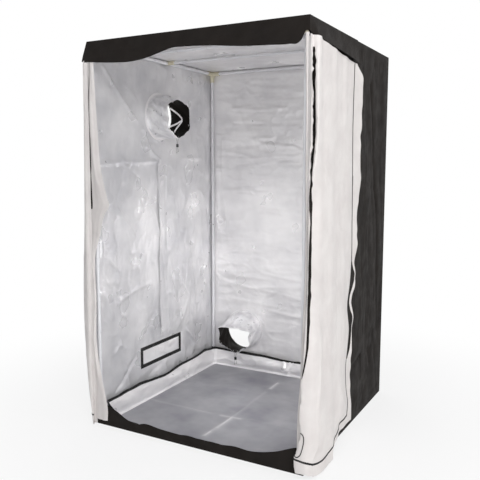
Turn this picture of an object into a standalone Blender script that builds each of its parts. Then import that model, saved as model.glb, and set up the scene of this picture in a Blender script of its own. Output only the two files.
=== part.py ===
"""Indoor grow tent: a plugged steel-tube frame inside a black canvas cover with a reflective lining.

Metres, +Z up. The origin is the middle of the footprint, on the ground. The front is at -Y.
Both halves of the front door are folded back along the outside of the side walls.
"""

import math

import bmesh
import bpy
from mathutils import Matrix, Vector

# Outside size of the cover
WIDTH = 1.200
DEPTH = 1.200
HEIGHT = 2.000

# Cloth
CLOTH = 0.0015
SEAM_GAP = 0.0003

# Steel tubes and the plastic corner pieces that they plug into
TUBE_RADIUS = 0.0095
TUBE_WALL = 0.0010
TUBE_SIDES = 10
FIT = 0.0003
ARM_WALL = 0.0037
ARM_LENGTH = 0.055
WEB_REACH = 0.040
WEB_THICKNESS = 0.004
SKIN_GAP = 0.0005
POST_JOINT_HEIGHT = 0.950
SPIGOT_LENGTH = 0.060

# Hanging bars under the roof, with a snap-on clip at each end
BAR_RADIUS = 0.0080
BAR_WALL = 0.0010
BAR_FRONT_Y = -0.250
BAR_REAR_Y = 0.075
CLIP_WALL = 0.0030
CLIP_SIDES = 20
CLIP_LENGTH = 0.020
CLIP_ARM_LENGTH = 0.035
CLIP_MOUTH = 0.014

# Front of the cover around the doorway
HEADER_DEPTH = 0.112
HEADER_RISE = 0.036
HEADER_RISE_SPAN = 0.400
SILL_HEIGHT = 0.055
SILL_CORNER_RISE = 0.065
SILL_FLAT_SPAN = 0.350
JAMB_WIDTH = 0.045
EDGE_STEPS = 24

# Door halves, which hinge on a piped seam that stands out of each front corner and meet right of the middle
HINGE_OUT = 0.012
WELT_RADIUS = 0.0025
WELT_TAIL = 0.0035
WELT_SHOULDER_SHARE = 0.4
WELT_GAP = 0.0006
MEETING_X = 0.045
MEETING_GAP = 0.0030
DOOR_TOP_GAP = 0.004
DOOR_HEM_HEIGHT = 0.012
STORM_FLAP = 0.070
STORM_FLAP_RIPPLE = 0.012
FLAP_CLEARANCE = 0.0010
FLAP_STEP_LENGTH = 0.035
FOLD_DEPTH = 0.0085
FOLD_COUNT = 3.5
FOLD_TWIST = 1.6
CALM_FOOT_SHARE = 0.12
PANEL_COLUMNS = 20
PANEL_ROWS = 14

# Door zip
ZIP_LOW_HEIGHT = 0.062
TAPE_WIDTH = 0.018
TAPE_THICKNESS = 0.0012
COIL_WIDTH = 0.005
COIL_THICKNESS = 0.003
SLIDER_DROP = 0.680
SLIDER_LENGTH = 0.024
SLIDER_PLATE = 0.0016
PULL_LENGTH = 0.034
PULL_WIDTH = 0.008
PULL_THICKNESS = 0.0016

# Loose waterproof tray on the floor
TRAY_SIDE = 0.105
TRAY_GAP = 0.0015
TRAY_RIPPLE = 0.010
TRAY_SIDE_STEPS = 9
TRAY_FRONT_DIP = 0.062
TRAY_DIP_SHARE = 0.2
BINDING_HEIGHT = 0.010
BINDING_LIP = 0.0010
TIE_WALL = 0.0020
TIE_WIDTH = 0.012

# Round duct ports, each with a gathered cloth sleeve that hangs into the tent
PORT_RADIUS = 0.125
UPPER_PORT_Y = 0.000
UPPER_PORT_DROP = 0.332
LOWER_PORT_INSET = 0.255
LOWER_PORT_HEIGHT = 0.268
FLANGE_WIDTH = 0.014
SLEEVE_LENGTH = 0.140
SLEEVE_MOUTH_RADIUS = 0.112
SLEEVE_SAG = 0.010
SLEEVE_STEPS = 4
SLEEVE_SIDES = 36
GATHERS = 6
GATHER_DEPTH = 0.007
CORD_RADIUS = 0.0015
CORD_SETBACK = 0.012
CORD_TAIL = 0.085
CORD_TAIL_SPREAD = 0.016
LOCK_WIDTH = 0.016
LOCK_DEPTH = 0.010
LOCK_HEIGHT = 0.018
LOCK_DROP = 0.042
LOCK_CORD_SPREAD = 0.007
LOCK_BORE_SIDES = 8

# Low netted vent in the left wall, with a cover that folds up on the inside
VENT_Y = -0.015
VENT_HEIGHT = 0.251
VENT_LENGTH = 0.372
VENT_DROP = 0.082
VENT_MARGIN = 0.022
NET_THICKNESS = 0.0008
NET_COLUMNS = 14
NET_ROWS = 3
NET_STRAND = 0.0030
BORDER_THICKNESS = 0.0012

# Cutters run this far past the faces that they cut
OVERRUN = 0.004

ARM_RADIUS = TUBE_RADIUS + FIT + ARM_WALL
CORE_HALF = ARM_RADIUS + FIT
FRAME_INSET = CLOTH + SKIN_GAP + CORE_HALF
POST_X = WIDTH / 2 - FRAME_INSET
POST_Y = DEPTH / 2 - FRAME_INSET
RAIL_LOW = FRAME_INSET
RAIL_HIGH = HEIGHT - FRAME_INSET
TUBE_START = ARM_RADIUS + FIT
WALL_X = WIDTH / 2 - CLOTH
WALL_Y = DEPTH / 2 - CLOTH
HINGE_X = WIDTH / 2 + HINGE_OUT
HINGE_Y = -DEPTH / 2 - HINGE_OUT
RIGHT_REACH = HINGE_X - MEETING_X - MEETING_GAP / 2
LEFT_REACH = HINGE_X + MEETING_X - MEETING_GAP / 2
DOOR_TOP = HEIGHT - HEADER_DEPTH - DOOR_TOP_GAP
SLIDER_HEIGHT = HEIGHT - SLIDER_DROP
UPPER_PORT_HEIGHT = HEIGHT - UPPER_PORT_DROP
LOWER_PORT_X = LOWER_PORT_INSET - WIDTH / 2
PLAIN_EDGE_OFFSET = COIL_THICKNESS / 2 + CLOTH / 2 + 2 * FIT
FLAP_EDGE_OFFSET = PLAIN_EDGE_OFFSET + CLOTH + FLAP_CLEARANCE


def clear_scene():
    for thing in list(bpy.data.objects):
        bpy.data.objects.remove(thing)


def finish(name, colour, roughness, metallic=0.0):
    """One Principled material."""
    material = bpy.data.materials.new(name)
    material.use_nodes = True
    shader = material.node_tree.nodes["Principled BSDF"]
    shader.inputs["Base Color"].default_value = (*colour, 1.0)
    shader.inputs["Roughness"].default_value = roughness
    shader.inputs["Metallic"].default_value = metallic
    return material


def add_mesh(name, points, faces, material, smooth=False):
    """A mesh object from points and faces, with its faces turned outwards."""
    mesh = bpy.data.meshes.new(name)
    form = bmesh.new()
    corners = [form.verts.new(point) for point in points]
    for face in faces:
        form.faces.new([corners[index] for index in face])
    bmesh.ops.recalc_face_normals(form, faces=form.faces)
    form.to_mesh(mesh)
    form.free()
    mesh.materials.append(material)
    if smooth:
        mesh.shade_smooth()
        mesh.set_sharp_from_angle(angle=math.radians(40))
    thing = bpy.data.objects.new(name, mesh)
    bpy.context.collection.objects.link(thing)
    return thing


def skin(name, rings, material, closed, smooth=False):
    """Joins rings of equally many points; a closed skin comes back to its first ring."""
    count = len(rings[0])
    points = [point for ring in rings for point in ring]
    faces = []
    for level in range(len(rings) if closed else len(rings) - 1):
        here = level * count
        there = (level + 1) % len(rings) * count
        for step in range(count):
            after = (step + 1) % count
            faces.append((here + step, here + after, there + after, there + step))
    if not closed:
        last = (len(rings) - 1) * count
        faces.append(tuple(range(count)))
        faces.append(tuple(range(last, last + count)))
    return add_mesh(name, points, faces, material, smooth)


def circle(radius, sides, level):
    """A regular ring of points round the Z axis, with flats square to X and Y where it can."""
    turn = 2 * math.pi / sides
    return [
        Vector((radius * math.cos((step + 0.5) * turn), radius * math.sin((step + 0.5) * turn), level))
        for step in range(sides)
    ]


def axis_frame(start, direction):
    """Turns local Z along a direction, with its origin at start."""
    return Matrix.Translation(start) @ Vector(direction).to_track_quat("Z", "Y").to_matrix().to_4x4()


def turned(name, profile, sides, start, direction, material, closed):
    """A turned piece: profile is a list of (distance along, radius)."""
    frame = axis_frame(start, direction)
    rings = [[frame @ point for point in circle(radius, sides, level)] for level, radius in profile]
    return skin(name, rings, material, closed, smooth=True)


def box(name, low, high, material):
    corners = [(x, y, z) for z in (low[2], high[2]) for y in (low[1], high[1]) for x in (low[0], high[0])]
    faces = [(0, 1, 3, 2), (4, 5, 7, 6), (0, 1, 5, 4), (2, 3, 7, 6), (0, 2, 6, 4), (1, 3, 7, 5)]
    return add_mesh(name, corners, faces, material)


def prism(name, outline, place, near, far, material):
    """An outline of flat points pushed from one depth to another; place(point, depth) gives the point."""
    rings = [[place(point, depth) for point in outline] for depth in (near, far)]
    return skin(name, rings, material, closed=False)


def combine(body, tool, operation):
    """Applies one Boolean to body and removes the tool."""
    modifier = body.modifiers.new(operation, "BOOLEAN")
    modifier.operation = operation
    modifier.solver = "EXACT"
    modifier.object = tool
    graph = bpy.context.evaluated_depsgraph_get()
    result = bpy.data.meshes.new_from_object(body.evaluated_get(graph))
    body.modifiers.remove(modifier)
    body.data = result
    bpy.data.objects.remove(tool)


def sheet(name, columns, rows, place, material, thickness=CLOTH):
    """A closed sheet of cloth over a grid; place(column, row, offset) gives a point off its middle face."""
    points = []
    for side in (-thickness / 2, thickness / 2):
        points += [place(column, row, side) for row in rows for column in columns]
    wide, tall = len(columns), len(rows)
    layer = wide * tall
    faces = []
    for row in range(tall - 1):
        for column in range(wide - 1):
            corner = row * wide + column
            quad = (corner, corner + 1, corner + wide + 1, corner + wide)
            faces.append(quad)
            faces.append(tuple(index + layer for index in quad))
    rim = [column for column in range(wide)]
    rim += [row * wide + wide - 1 for row in range(1, tall)]
    rim += [(tall - 1) * wide + column for column in range(wide - 2, -1, -1)]
    rim += [row * wide for row in range(tall - 2, 0, -1)]
    for here, there in zip(rim, rim[1:] + rim[:1]):
        faces.append((here, there, there + layer, here + layer))
    return add_mesh(name, points, faces, material, smooth=True)


def spread(low, high, steps):
    return [low + (high - low) * step / steps for step in range(steps + 1)]


def ease(share):
    """Runs smoothly from 0 to 1 as the share does."""
    held = min(max(share, 0.0), 1.0)
    return held * held * (3 - 2 * held)


def tube(name, start, end, radius, wall, material):
    """A straight hollow tube."""
    length = (Vector(end) - Vector(start)).length
    inner = radius - wall
    profile = [(0, radius), (length, radius), (length, inner), (0, inner)]
    return turned(name, profile, TUBE_SIDES, start, Vector(end) - Vector(start), material, closed=True)


def make_posts(steel):
    """Each post is two tubes: the lower one is drawn down at its top to plug into the upper one."""
    inner = TUBE_RADIUS - TUBE_WALL
    spigot = inner - FIT
    spigot_bore = spigot - TUBE_WALL
    foot = RAIL_LOW + TUBE_START
    lower = POST_JOINT_HEIGHT - foot
    taper = TUBE_RADIUS
    tip = lower + SPIGOT_LENGTH
    profile = [
        (0, TUBE_RADIUS),
        (lower, TUBE_RADIUS),
        (lower, spigot),
        (tip, spigot),
        (tip, spigot_bore),
        (lower, spigot_bore),
        (lower - taper, inner),
        (0, inner),
    ]
    up = (0, 0, 1)
    for end, y in (("front", -POST_Y), ("rear", POST_Y)):
        for side, x in (("left", -POST_X), ("right", POST_X)):
            place = (x, y, foot)
            turned(f"post_lower_{end}_{side}", profile, TUBE_SIDES, place, up, steel, closed=True)
            bottom = (x, y, POST_JOINT_HEIGHT + FIT)
            top = (x, y, RAIL_HIGH - TUBE_START)
            tube(f"post_upper_{end}_{side}", bottom, top, TUBE_RADIUS, TUBE_WALL, steel)


def make_rails(steel):
    """Four tubes round the roof and four round the floor."""
    for level, z in (("bottom", RAIL_LOW), ("top", RAIL_HIGH)):
        for end, y in (("front", -POST_Y), ("rear", POST_Y)):
            reach = POST_X - TUBE_START
            tube(f"{level}_rail_{end}", (-reach, y, z), (reach, y, z), TUBE_RADIUS, TUBE_WALL, steel)
        for side, x in (("left", -POST_X), ("right", POST_X)):
            reach = POST_Y - TUBE_START
            tube(f"{level}_rail_{side}", (x, -reach, z), (x, reach, z), TUBE_RADIUS, TUBE_WALL, steel)


def corner_form(plastic):
    """A three-way corner at the origin, with its sockets along +X, +Y and +Z and a web between each two."""
    axes = [Vector((1, 0, 0)), Vector((0, 1, 0)), Vector((0, 0, 1))]
    half = CORE_HALF
    form = box("corner", (-half, -half, -half), (half, half, half), plastic)
    for axis in axes:
        profile = [(0, ARM_RADIUS), (ARM_LENGTH, ARM_RADIUS)]
        arm = turned("arm", profile, TUBE_SIDES, (0, 0, 0), axis, plastic, closed=False)
        combine(form, arm, "UNION")
    for index, first in enumerate(axes):
        second = axes[(index + 1) % 3]
        across = first.cross(second)
        outline = [(0, 0), (WEB_REACH, 0), (0, WEB_REACH)]

        def place(point, depth):
            return first * point[0] + second * point[1] + across * depth

        web = prism("web", outline, place, -WEB_THICKNESS / 2, WEB_THICKNESS / 2, plastic)
        combine(form, web, "UNION")
    for axis in axes:
        profile = [(0, TUBE_RADIUS + FIT), (ARM_LENGTH + OVERRUN, TUBE_RADIUS + FIT)]
        socket = turned("socket", profile, TUBE_SIDES, axis * ARM_RADIUS, axis, plastic, closed=False)
        combine(form, socket, "DIFFERENCE")
    return form


def make_corners(plastic):
    """Eight three-way corners, each a mirrored copy of one form."""
    form = corner_form(plastic)
    places = (
        ("top", RAIL_HIGH, -1),
        ("bottom", RAIL_LOW, 1),
    )
    for level, z, up in places:
        for end, y, back in (("front", -POST_Y, 1), ("rear", POST_Y, -1)):
            for side, x, inward in (("left", -POST_X, 1), ("right", POST_X, -1)):
                mesh = form.data.copy()
                mesh.transform(Matrix.Translation((x, y, z)) @ Matrix.Diagonal((inward, back, up, 1)))
                if inward * back * up < 0:
                    mesh.flip_normals()
                copy = bpy.data.objects.new(f"corner_{level}_{end}_{side}", mesh)
                bpy.context.collection.objects.link(copy)
    bpy.data.objects.remove(form)


def make_clip(name, y, inward, plastic):
    """A ring that snaps up over the side rail, with a socket for the end of the hanging bar."""
    bore = TUBE_RADIUS + FIT
    outer = bore + CLIP_WALL
    rail = Vector((-inward * POST_X, y, RAIL_HIGH))
    along = Vector((0, 1, 0))
    start = rail - along * CLIP_LENGTH / 2
    ring = turned(name, [(0, outer), (CLIP_LENGTH, outer)], CLIP_SIDES, start, along, plastic, closed=False)
    socket = BAR_RADIUS + FIT
    arm_radius = min(socket + CLIP_WALL, outer - SKIN_GAP)
    direction = Vector((inward, 0, 0))
    arm_profile = [(0, arm_radius), (outer + CLIP_ARM_LENGTH - bore, arm_radius)]
    arm = turned("arm", arm_profile, TUBE_SIDES, rail + direction * bore, direction, plastic, closed=False)
    combine(ring, arm, "UNION")
    bore_profile = [(0, bore), (CLIP_LENGTH + OVERRUN, bore)]
    bore_start = start - along * OVERRUN / 2
    hole = turned("bore", bore_profile, TUBE_SIDES, bore_start, along, plastic, closed=False)
    combine(ring, hole, "DIFFERENCE")
    mouth_low = rail + Vector((-CLIP_MOUTH / 2, -CLIP_LENGTH, -outer - OVERRUN))
    mouth_high = rail + Vector((CLIP_MOUTH / 2, CLIP_LENGTH, 0))
    combine(ring, box("mouth", mouth_low, mouth_high, plastic), "DIFFERENCE")
    seat = [(0, socket), (CLIP_ARM_LENGTH + OVERRUN, socket)]
    pocket = turned("socket", seat, TUBE_SIDES, rail + direction * outer, direction, plastic, closed=False)
    combine(ring, pocket, "DIFFERENCE")
    ring.location = rail
    ring.data.transform(Matrix.Translation(-rail))


def make_hanging_bars(steel, plastic):
    """Two bars that slide along the side rails and carry the lamp and the filter."""
    reach = POST_X - (TUBE_RADIUS + FIT + CLIP_WALL) - FIT
    for place, y in (("front", BAR_FRONT_Y), ("rear", BAR_REAR_Y)):
        ends = ((-reach, y, RAIL_HIGH), (reach, y, RAIL_HIGH))
        tube(f"hanging_bar_{place}", *ends, BAR_RADIUS, BAR_WALL, steel)
        make_clip(f"bar_clip_{place}_left", y, 1, plastic)
        make_clip(f"bar_clip_{place}_right", y, -1, plastic)


def make_roof_and_ground(canvas):
    x = WALL_X - SEAM_GAP
    y = WALL_Y - SEAM_GAP
    box("roof_panel", (-x, -y, HEIGHT - CLOTH), (x, y, HEIGHT), canvas)
    box("ground_sheet", (-x, -y, 0), (x, y, CLOTH), canvas)


def make_walls(canvas):
    """The side walls run from corner to corner, and the rear wall between them."""
    front = -WALL_Y + SEAM_GAP
    left = box("left_wall", (-WIDTH / 2, front, 0), (-WALL_X, DEPTH / 2, HEIGHT), canvas)
    box("right_wall", (WALL_X, front, 0), (WIDTH / 2, DEPTH / 2, HEIGHT), canvas)
    x = WALL_X - SEAM_GAP
    rear = box("rear_wall", (-x, WALL_Y, 0), (x, DEPTH / 2, HEIGHT), canvas)

    hole = [(0, PORT_RADIUS), (CLOTH + OVERRUN, PORT_RADIUS)]
    centre = (-WIDTH / 2 - OVERRUN / 2, UPPER_PORT_Y, UPPER_PORT_HEIGHT)
    cutter = turned("hole", hole, SLEEVE_SIDES, centre, (1, 0, 0), canvas, closed=False)
    combine(left, cutter, "DIFFERENCE")
    low = (-WIDTH / 2 - OVERRUN, VENT_Y - VENT_LENGTH / 2, VENT_HEIGHT - VENT_DROP / 2)
    high = (-WALL_X + OVERRUN, VENT_Y + VENT_LENGTH / 2, VENT_HEIGHT + VENT_DROP / 2)
    combine(left, box("window", low, high, canvas), "DIFFERENCE")
    centre = (LOWER_PORT_X, DEPTH / 2 + OVERRUN / 2, LOWER_PORT_HEIGHT)
    cutter = turned("hole", hole, SLEEVE_SIDES, centre, (0, -1, 0), canvas, closed=False)
    combine(rear, cutter, "DIFFERENCE")


def make_doorway(canvas):
    """Header, sill and jambs: what stays of the front when the doors are folded back."""
    reach = WIDTH / 2 - JAMB_WIDTH - SEAM_GAP

    def place(point, depth):
        return Vector((point[0], depth, point[1]))

    across = spread(-reach, reach, EDGE_STEPS)
    header = [(-reach, HEIGHT), (reach, HEIGHT)]
    for x in reversed(across):
        lift = 1 - ease(abs(x) / HEADER_RISE_SPAN)
        header.append((x, HEIGHT - HEADER_DEPTH + HEADER_RISE * lift))
    prism("header_band", header, place, -DEPTH / 2, -WALL_Y, canvas)

    sill = [(reach, 0), (-reach, 0)]
    for x in across:
        run = (abs(x) - SILL_FLAT_SPAN) / (reach - SILL_FLAT_SPAN)
        sill.append((x, SILL_HEIGHT + SILL_CORNER_RISE * ease(run)))
    prism("front_sill", sill, place, -DEPTH / 2, -WALL_Y, canvas)

    def upright(point, depth):
        return Vector((point[0], point[1], depth))

    mitre = CLOTH / math.sqrt(2)
    tip = HINGE_OUT - (WELT_RADIUS + WELT_GAP) / math.sqrt(2)
    half = mitre / 2
    for side, hand in (("left", -1), ("right", 1)):
        edge = WIDTH / 2
        front = -DEPTH / 2
        section = [
            (edge - JAMB_WIDTH, -WALL_Y),
            (edge - JAMB_WIDTH, front),
            (edge - mitre, front),
            (edge + tip - half, front - tip - half),
            (edge + tip + half, front - tip + half),
            (edge, front + mitre),
            (edge, -WALL_Y),
        ]
        outline = [(hand * x, y) for x, y in section]
        prism(f"{side}_jamb", outline, upright, 0, HEIGHT, canvas)


def fold_offset(along, height, reach):
    """How far the door cloth stands off its own plane: loose upright folds that die out at every edge."""
    share = min(max(along / reach, 0.0), 1.0)
    foot = ZIP_LOW_HEIGHT + TAPE_WIDTH
    rise = (height - foot) / (DOOR_TOP - foot)
    calm_sides = math.sin(math.pi * share)
    calm_foot = ease(rise / CALM_FOOT_SHARE)
    wave = math.sin(2 * math.pi * FOLD_COUNT * share + FOLD_TWIST * math.sin(math.pi * rise))
    return FOLD_DEPTH * calm_sides * calm_foot * wave


def make_door_panel(name, hand, reach, edge_offset, flap, lining):
    """One half of the door, hanging along the outside of its side wall from the welt at the corner."""
    hinge = Vector((hand * HINGE_X, HINGE_Y, 0))
    body_end = reach - TAPE_WIDTH - FLAP_STEP_LENGTH
    columns = [-WELT_RADIUS, 0, WELT_TAIL]
    columns += spread(2 * WELT_TAIL, body_end, PANEL_COLUMNS - 1)
    columns += spread(body_end, reach - TAPE_WIDTH, 2)[1:]
    columns.append(reach - MEETING_GAP)
    if flap:
        columns += spread(reach, reach + flap, 3)
    tape_top = ZIP_LOW_HEIGHT + TAPE_WIDTH
    rows = [DOOR_HEM_HEIGHT, ZIP_LOW_HEIGHT, tape_top]
    rows += spread(tape_top + FLAP_STEP_LENGTH, DOOR_TOP, PANEL_ROWS)
    shoulder = WELT_SHOULDER_SHARE * WELT_RADIUS
    bulges = {-WELT_RADIUS: shoulder, 0: WELT_RADIUS, WELT_TAIL: shoulder}

    def place(along, height, side):
        half = bulges.get(along, CLOTH / 2)
        step = ease((along - body_end) / FLAP_STEP_LENGTH)
        low = 1 - ease((height - tape_top) / FLAP_STEP_LENGTH)
        low *= ease((along - WELT_TAIL) / FLAP_STEP_LENGTH)
        out = -edge_offset * max(step, low) + fold_offset(along, height, body_end)
        loose = max(along - reach, 0.0) / flap if flap else 0.0
        ripple = STORM_FLAP_RIPPLE * loose * math.sin(height * FOLD_COUNT * 2 * math.pi / DOOR_TOP)
        out += math.copysign(half, side)
        return Vector((hand * out, along + ripple, height))

    panel = sheet(name, columns, rows, place, lining)
    panel.location = hinge
    return panel


def make_zip(name, hand, reach, edge_offset, teeth):
    """Tape and coil along the meeting edge and the foot, mitred where they turn."""
    back = -edge_offset + CLOTH / 2 + FIT
    face = back + TAPE_THICKNESS
    half_coil = COIL_THICKNESS / 2
    section = [
        (0, -half_coil),
        (0, half_coil),
        (COIL_WIDTH, half_coil),
        (COIL_WIDTH + (half_coil - face), face),
        (TAPE_WIDTH, face),
        (TAPE_WIDTH, back),
        (COIL_WIDTH, back),
        (COIL_WIDTH, -half_coil),
    ]
    first = FLAP_STEP_LENGTH + WELT_TAIL
    stations = [
        lambda edge: (reach - edge, DOOR_TOP),
        lambda edge: (reach - edge, ZIP_LOW_HEIGHT + edge),
        lambda edge: (first, ZIP_LOW_HEIGHT + edge),
    ]
    rings = []
    for station in stations:
        ring = []
        for edge, out in section:
            along, height = station(edge)
            ring.append(Vector((hand * out, along, height)))
        rings.append(ring)
    strip = skin(name, rings, teeth, closed=False)
    strip.location = (hand * HINGE_X, HINGE_Y, 0)
    return strip


def make_slider(hand, reach, metal):
    """An H-shaped slider: two plates joined by a post that runs between the two halves of the coil."""
    centre = Vector((hand * HINGE_X, HINGE_Y + reach + MEETING_GAP / 2, SLIDER_HEIGHT))
    channel = COIL_THICKNESS / 2 + FIT
    outer = channel + SLIDER_PLATE
    half_width = MEETING_GAP / 2 + COIL_WIDTH - FIT
    half_post = MEETING_GAP / 2 - FIT
    section = [
        (outer, -half_width), (outer, half_width), (channel, half_width), (channel, half_post),
        (-channel, half_post), (-channel, half_width), (-outer, half_width), (-outer, -half_width),
        (-channel, -half_width), (-channel, -half_post), (channel, -half_post), (channel, -half_width),
    ]

    def place(point, depth):
        return Vector((hand * point[0], point[1], depth))

    body = prism("zip_slider", section, place, -SLIDER_LENGTH / 2, SLIDER_LENGTH / 2, metal)
    pull_low = (outer - PULL_THICKNESS / 2, -PULL_WIDTH / 2, -SLIDER_LENGTH / 4 - PULL_LENGTH)
    pull_high = (outer + PULL_THICKNESS / 2, PULL_WIDTH / 2, SLIDER_LENGTH / 4)
    low = (min(hand * pull_low[0], hand * pull_high[0]), pull_low[1], pull_low[2])
    high = (max(hand * pull_low[0], hand * pull_high[0]), pull_high[1], pull_high[2])
    combine(body, box("pull", low, high, metal), "UNION")
    body.location = centre


def make_doors(lining, teeth, metal):
    make_door_panel("right_door_panel", 1, RIGHT_REACH, FLAP_EDGE_OFFSET, STORM_FLAP, lining)
    make_zip("right_door_zip", 1, RIGHT_REACH, FLAP_EDGE_OFFSET, teeth)
    make_slider(1, RIGHT_REACH, metal)
    make_door_panel("left_door_panel", -1, LEFT_REACH, PLAIN_EDGE_OFFSET, 0, lining)
    make_zip("left_door_zip", -1, LEFT_REACH, PLAIN_EDGE_OFFSET, teeth)


def tray_loop(reach_x, reach_y, cut, steps):
    """Points round the tray's plan, with how far the rim sways there.

    It is a rectangle whose corners are cut off to pass the frame's corners. The side in the doorway is
    let down behind the sill.
    """
    corners = [
        (reach_x, -reach_y + cut), (reach_x, reach_y - cut),
        (reach_x - cut, reach_y), (-reach_x + cut, reach_y),
        (-reach_x, reach_y - cut), (-reach_x, -reach_y + cut),
        (-reach_x + cut, -reach_y), (reach_x - cut, -reach_y),
    ]
    loop = []
    for index, (x, y) in enumerate(corners):
        next_x, next_y = corners[(index + 1) % len(corners)]
        count = steps if index % 2 == 0 else 1
        for step in range(count):
            share = step / count
            calm = math.sin(math.pi * share) ** 2 if count > 1 else 0.0
            sway = TRAY_RIPPLE * calm * math.sin(2 * math.pi * share + index)
            if index == len(corners) - 2:
                sway -= TRAY_FRONT_DIP * ease(min(share, 1 - share) / TRAY_DIP_SHARE)
            loop.append((x + (next_x - x) * share, y + (next_y - y) * share, sway))
    return loop


def make_tray(silver, webbing):
    """A shallow tray of lining cloth with a bound rim, tied to the foot of each post."""
    reach_x = POST_X - ARM_RADIUS - TRAY_GAP
    reach_y = POST_Y - ARM_RADIUS - TRAY_GAP
    cut = WEB_REACH + TRAY_GAP - 2 * (ARM_RADIUS + TRAY_GAP)
    cut = max(cut, CLOTH) + TRAY_GAP
    floor = CLOTH + SEAM_GAP
    diagonal = math.tan(math.radians(22.5))

    def ring(offset, level, rippled):
        loop = tray_loop(reach_x + offset, reach_y + offset, cut + 2 * offset * (1 - diagonal) / 2, TRAY_SIDE_STEPS)
        return [Vector((x, y, level + rippled * sway)) for x, y, sway in loop]

    rim = floor + TRAY_SIDE
    rings = [ring(0, floor, 0), ring(0, rim, 1), ring(-CLOTH, rim, 1), ring(-CLOTH, floor + CLOTH, 0)]
    skin("floor_tray", rings, silver, closed=False)

    low = rim + FIT
    high = low + BINDING_HEIGHT
    outside, inside = BINDING_LIP, -CLOTH - BINDING_LIP
    rings = [ring(outside, low, 1), ring(outside, high, 1), ring(inside, high, 1), ring(inside, low, 1)]
    skin("tray_binding", rings, webbing, closed=True)

    bore = TUBE_RADIUS + FIT
    outer = bore + TIE_WALL
    corner = (reach_x + outside + reach_y + outside - cut) / 2
    gap_to_tray = (POST_X + POST_Y - 2 * corner) / math.sqrt(2)
    for end, y, back in (("front", -POST_Y, 1), ("rear", POST_Y, -1)):
        for side, x, inward in (("left", -POST_X, 1), ("right", POST_X, -1)):
            start = Vector((x, y, low))
            profile = [(0, outer), (BINDING_HEIGHT, outer), (BINDING_HEIGHT, bore), (0, bore)]
            tie = turned(f"tray_tie_{end}_{side}", profile, TUBE_SIDES, start, (0, 0, 1), webbing, closed=True)
            toward = Vector((inward, back, 0)).normalized()
            across = Vector((0, 0, 1)).cross(toward)
            outline = [
                (outer - TIE_WALL / 2, -TIE_WIDTH / 2), (gap_to_tray - FIT, -TIE_WIDTH / 2),
                (gap_to_tray - FIT, TIE_WIDTH / 2), (outer - TIE_WALL / 2, TIE_WIDTH / 2),
            ]

            def place(point, depth):
                return start + toward * point[0] + across * point[1] + Vector((0, 0, depth))

            inset = CLOTH / 2
            tab = prism("tab", outline, place, inset, BINDING_HEIGHT - inset, webbing)
            combine(tie, tab, "UNION")


def sleeve_radius(angle, share):
    """Radius of the sleeve's inner face, drawn into gathers towards its mouth."""
    plain = PORT_RADIUS + (SLEEVE_MOUTH_RADIUS - PORT_RADIUS) * share
    return plain + GATHER_DEPTH * ease(share) * math.cos(GATHERS * angle)


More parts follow.
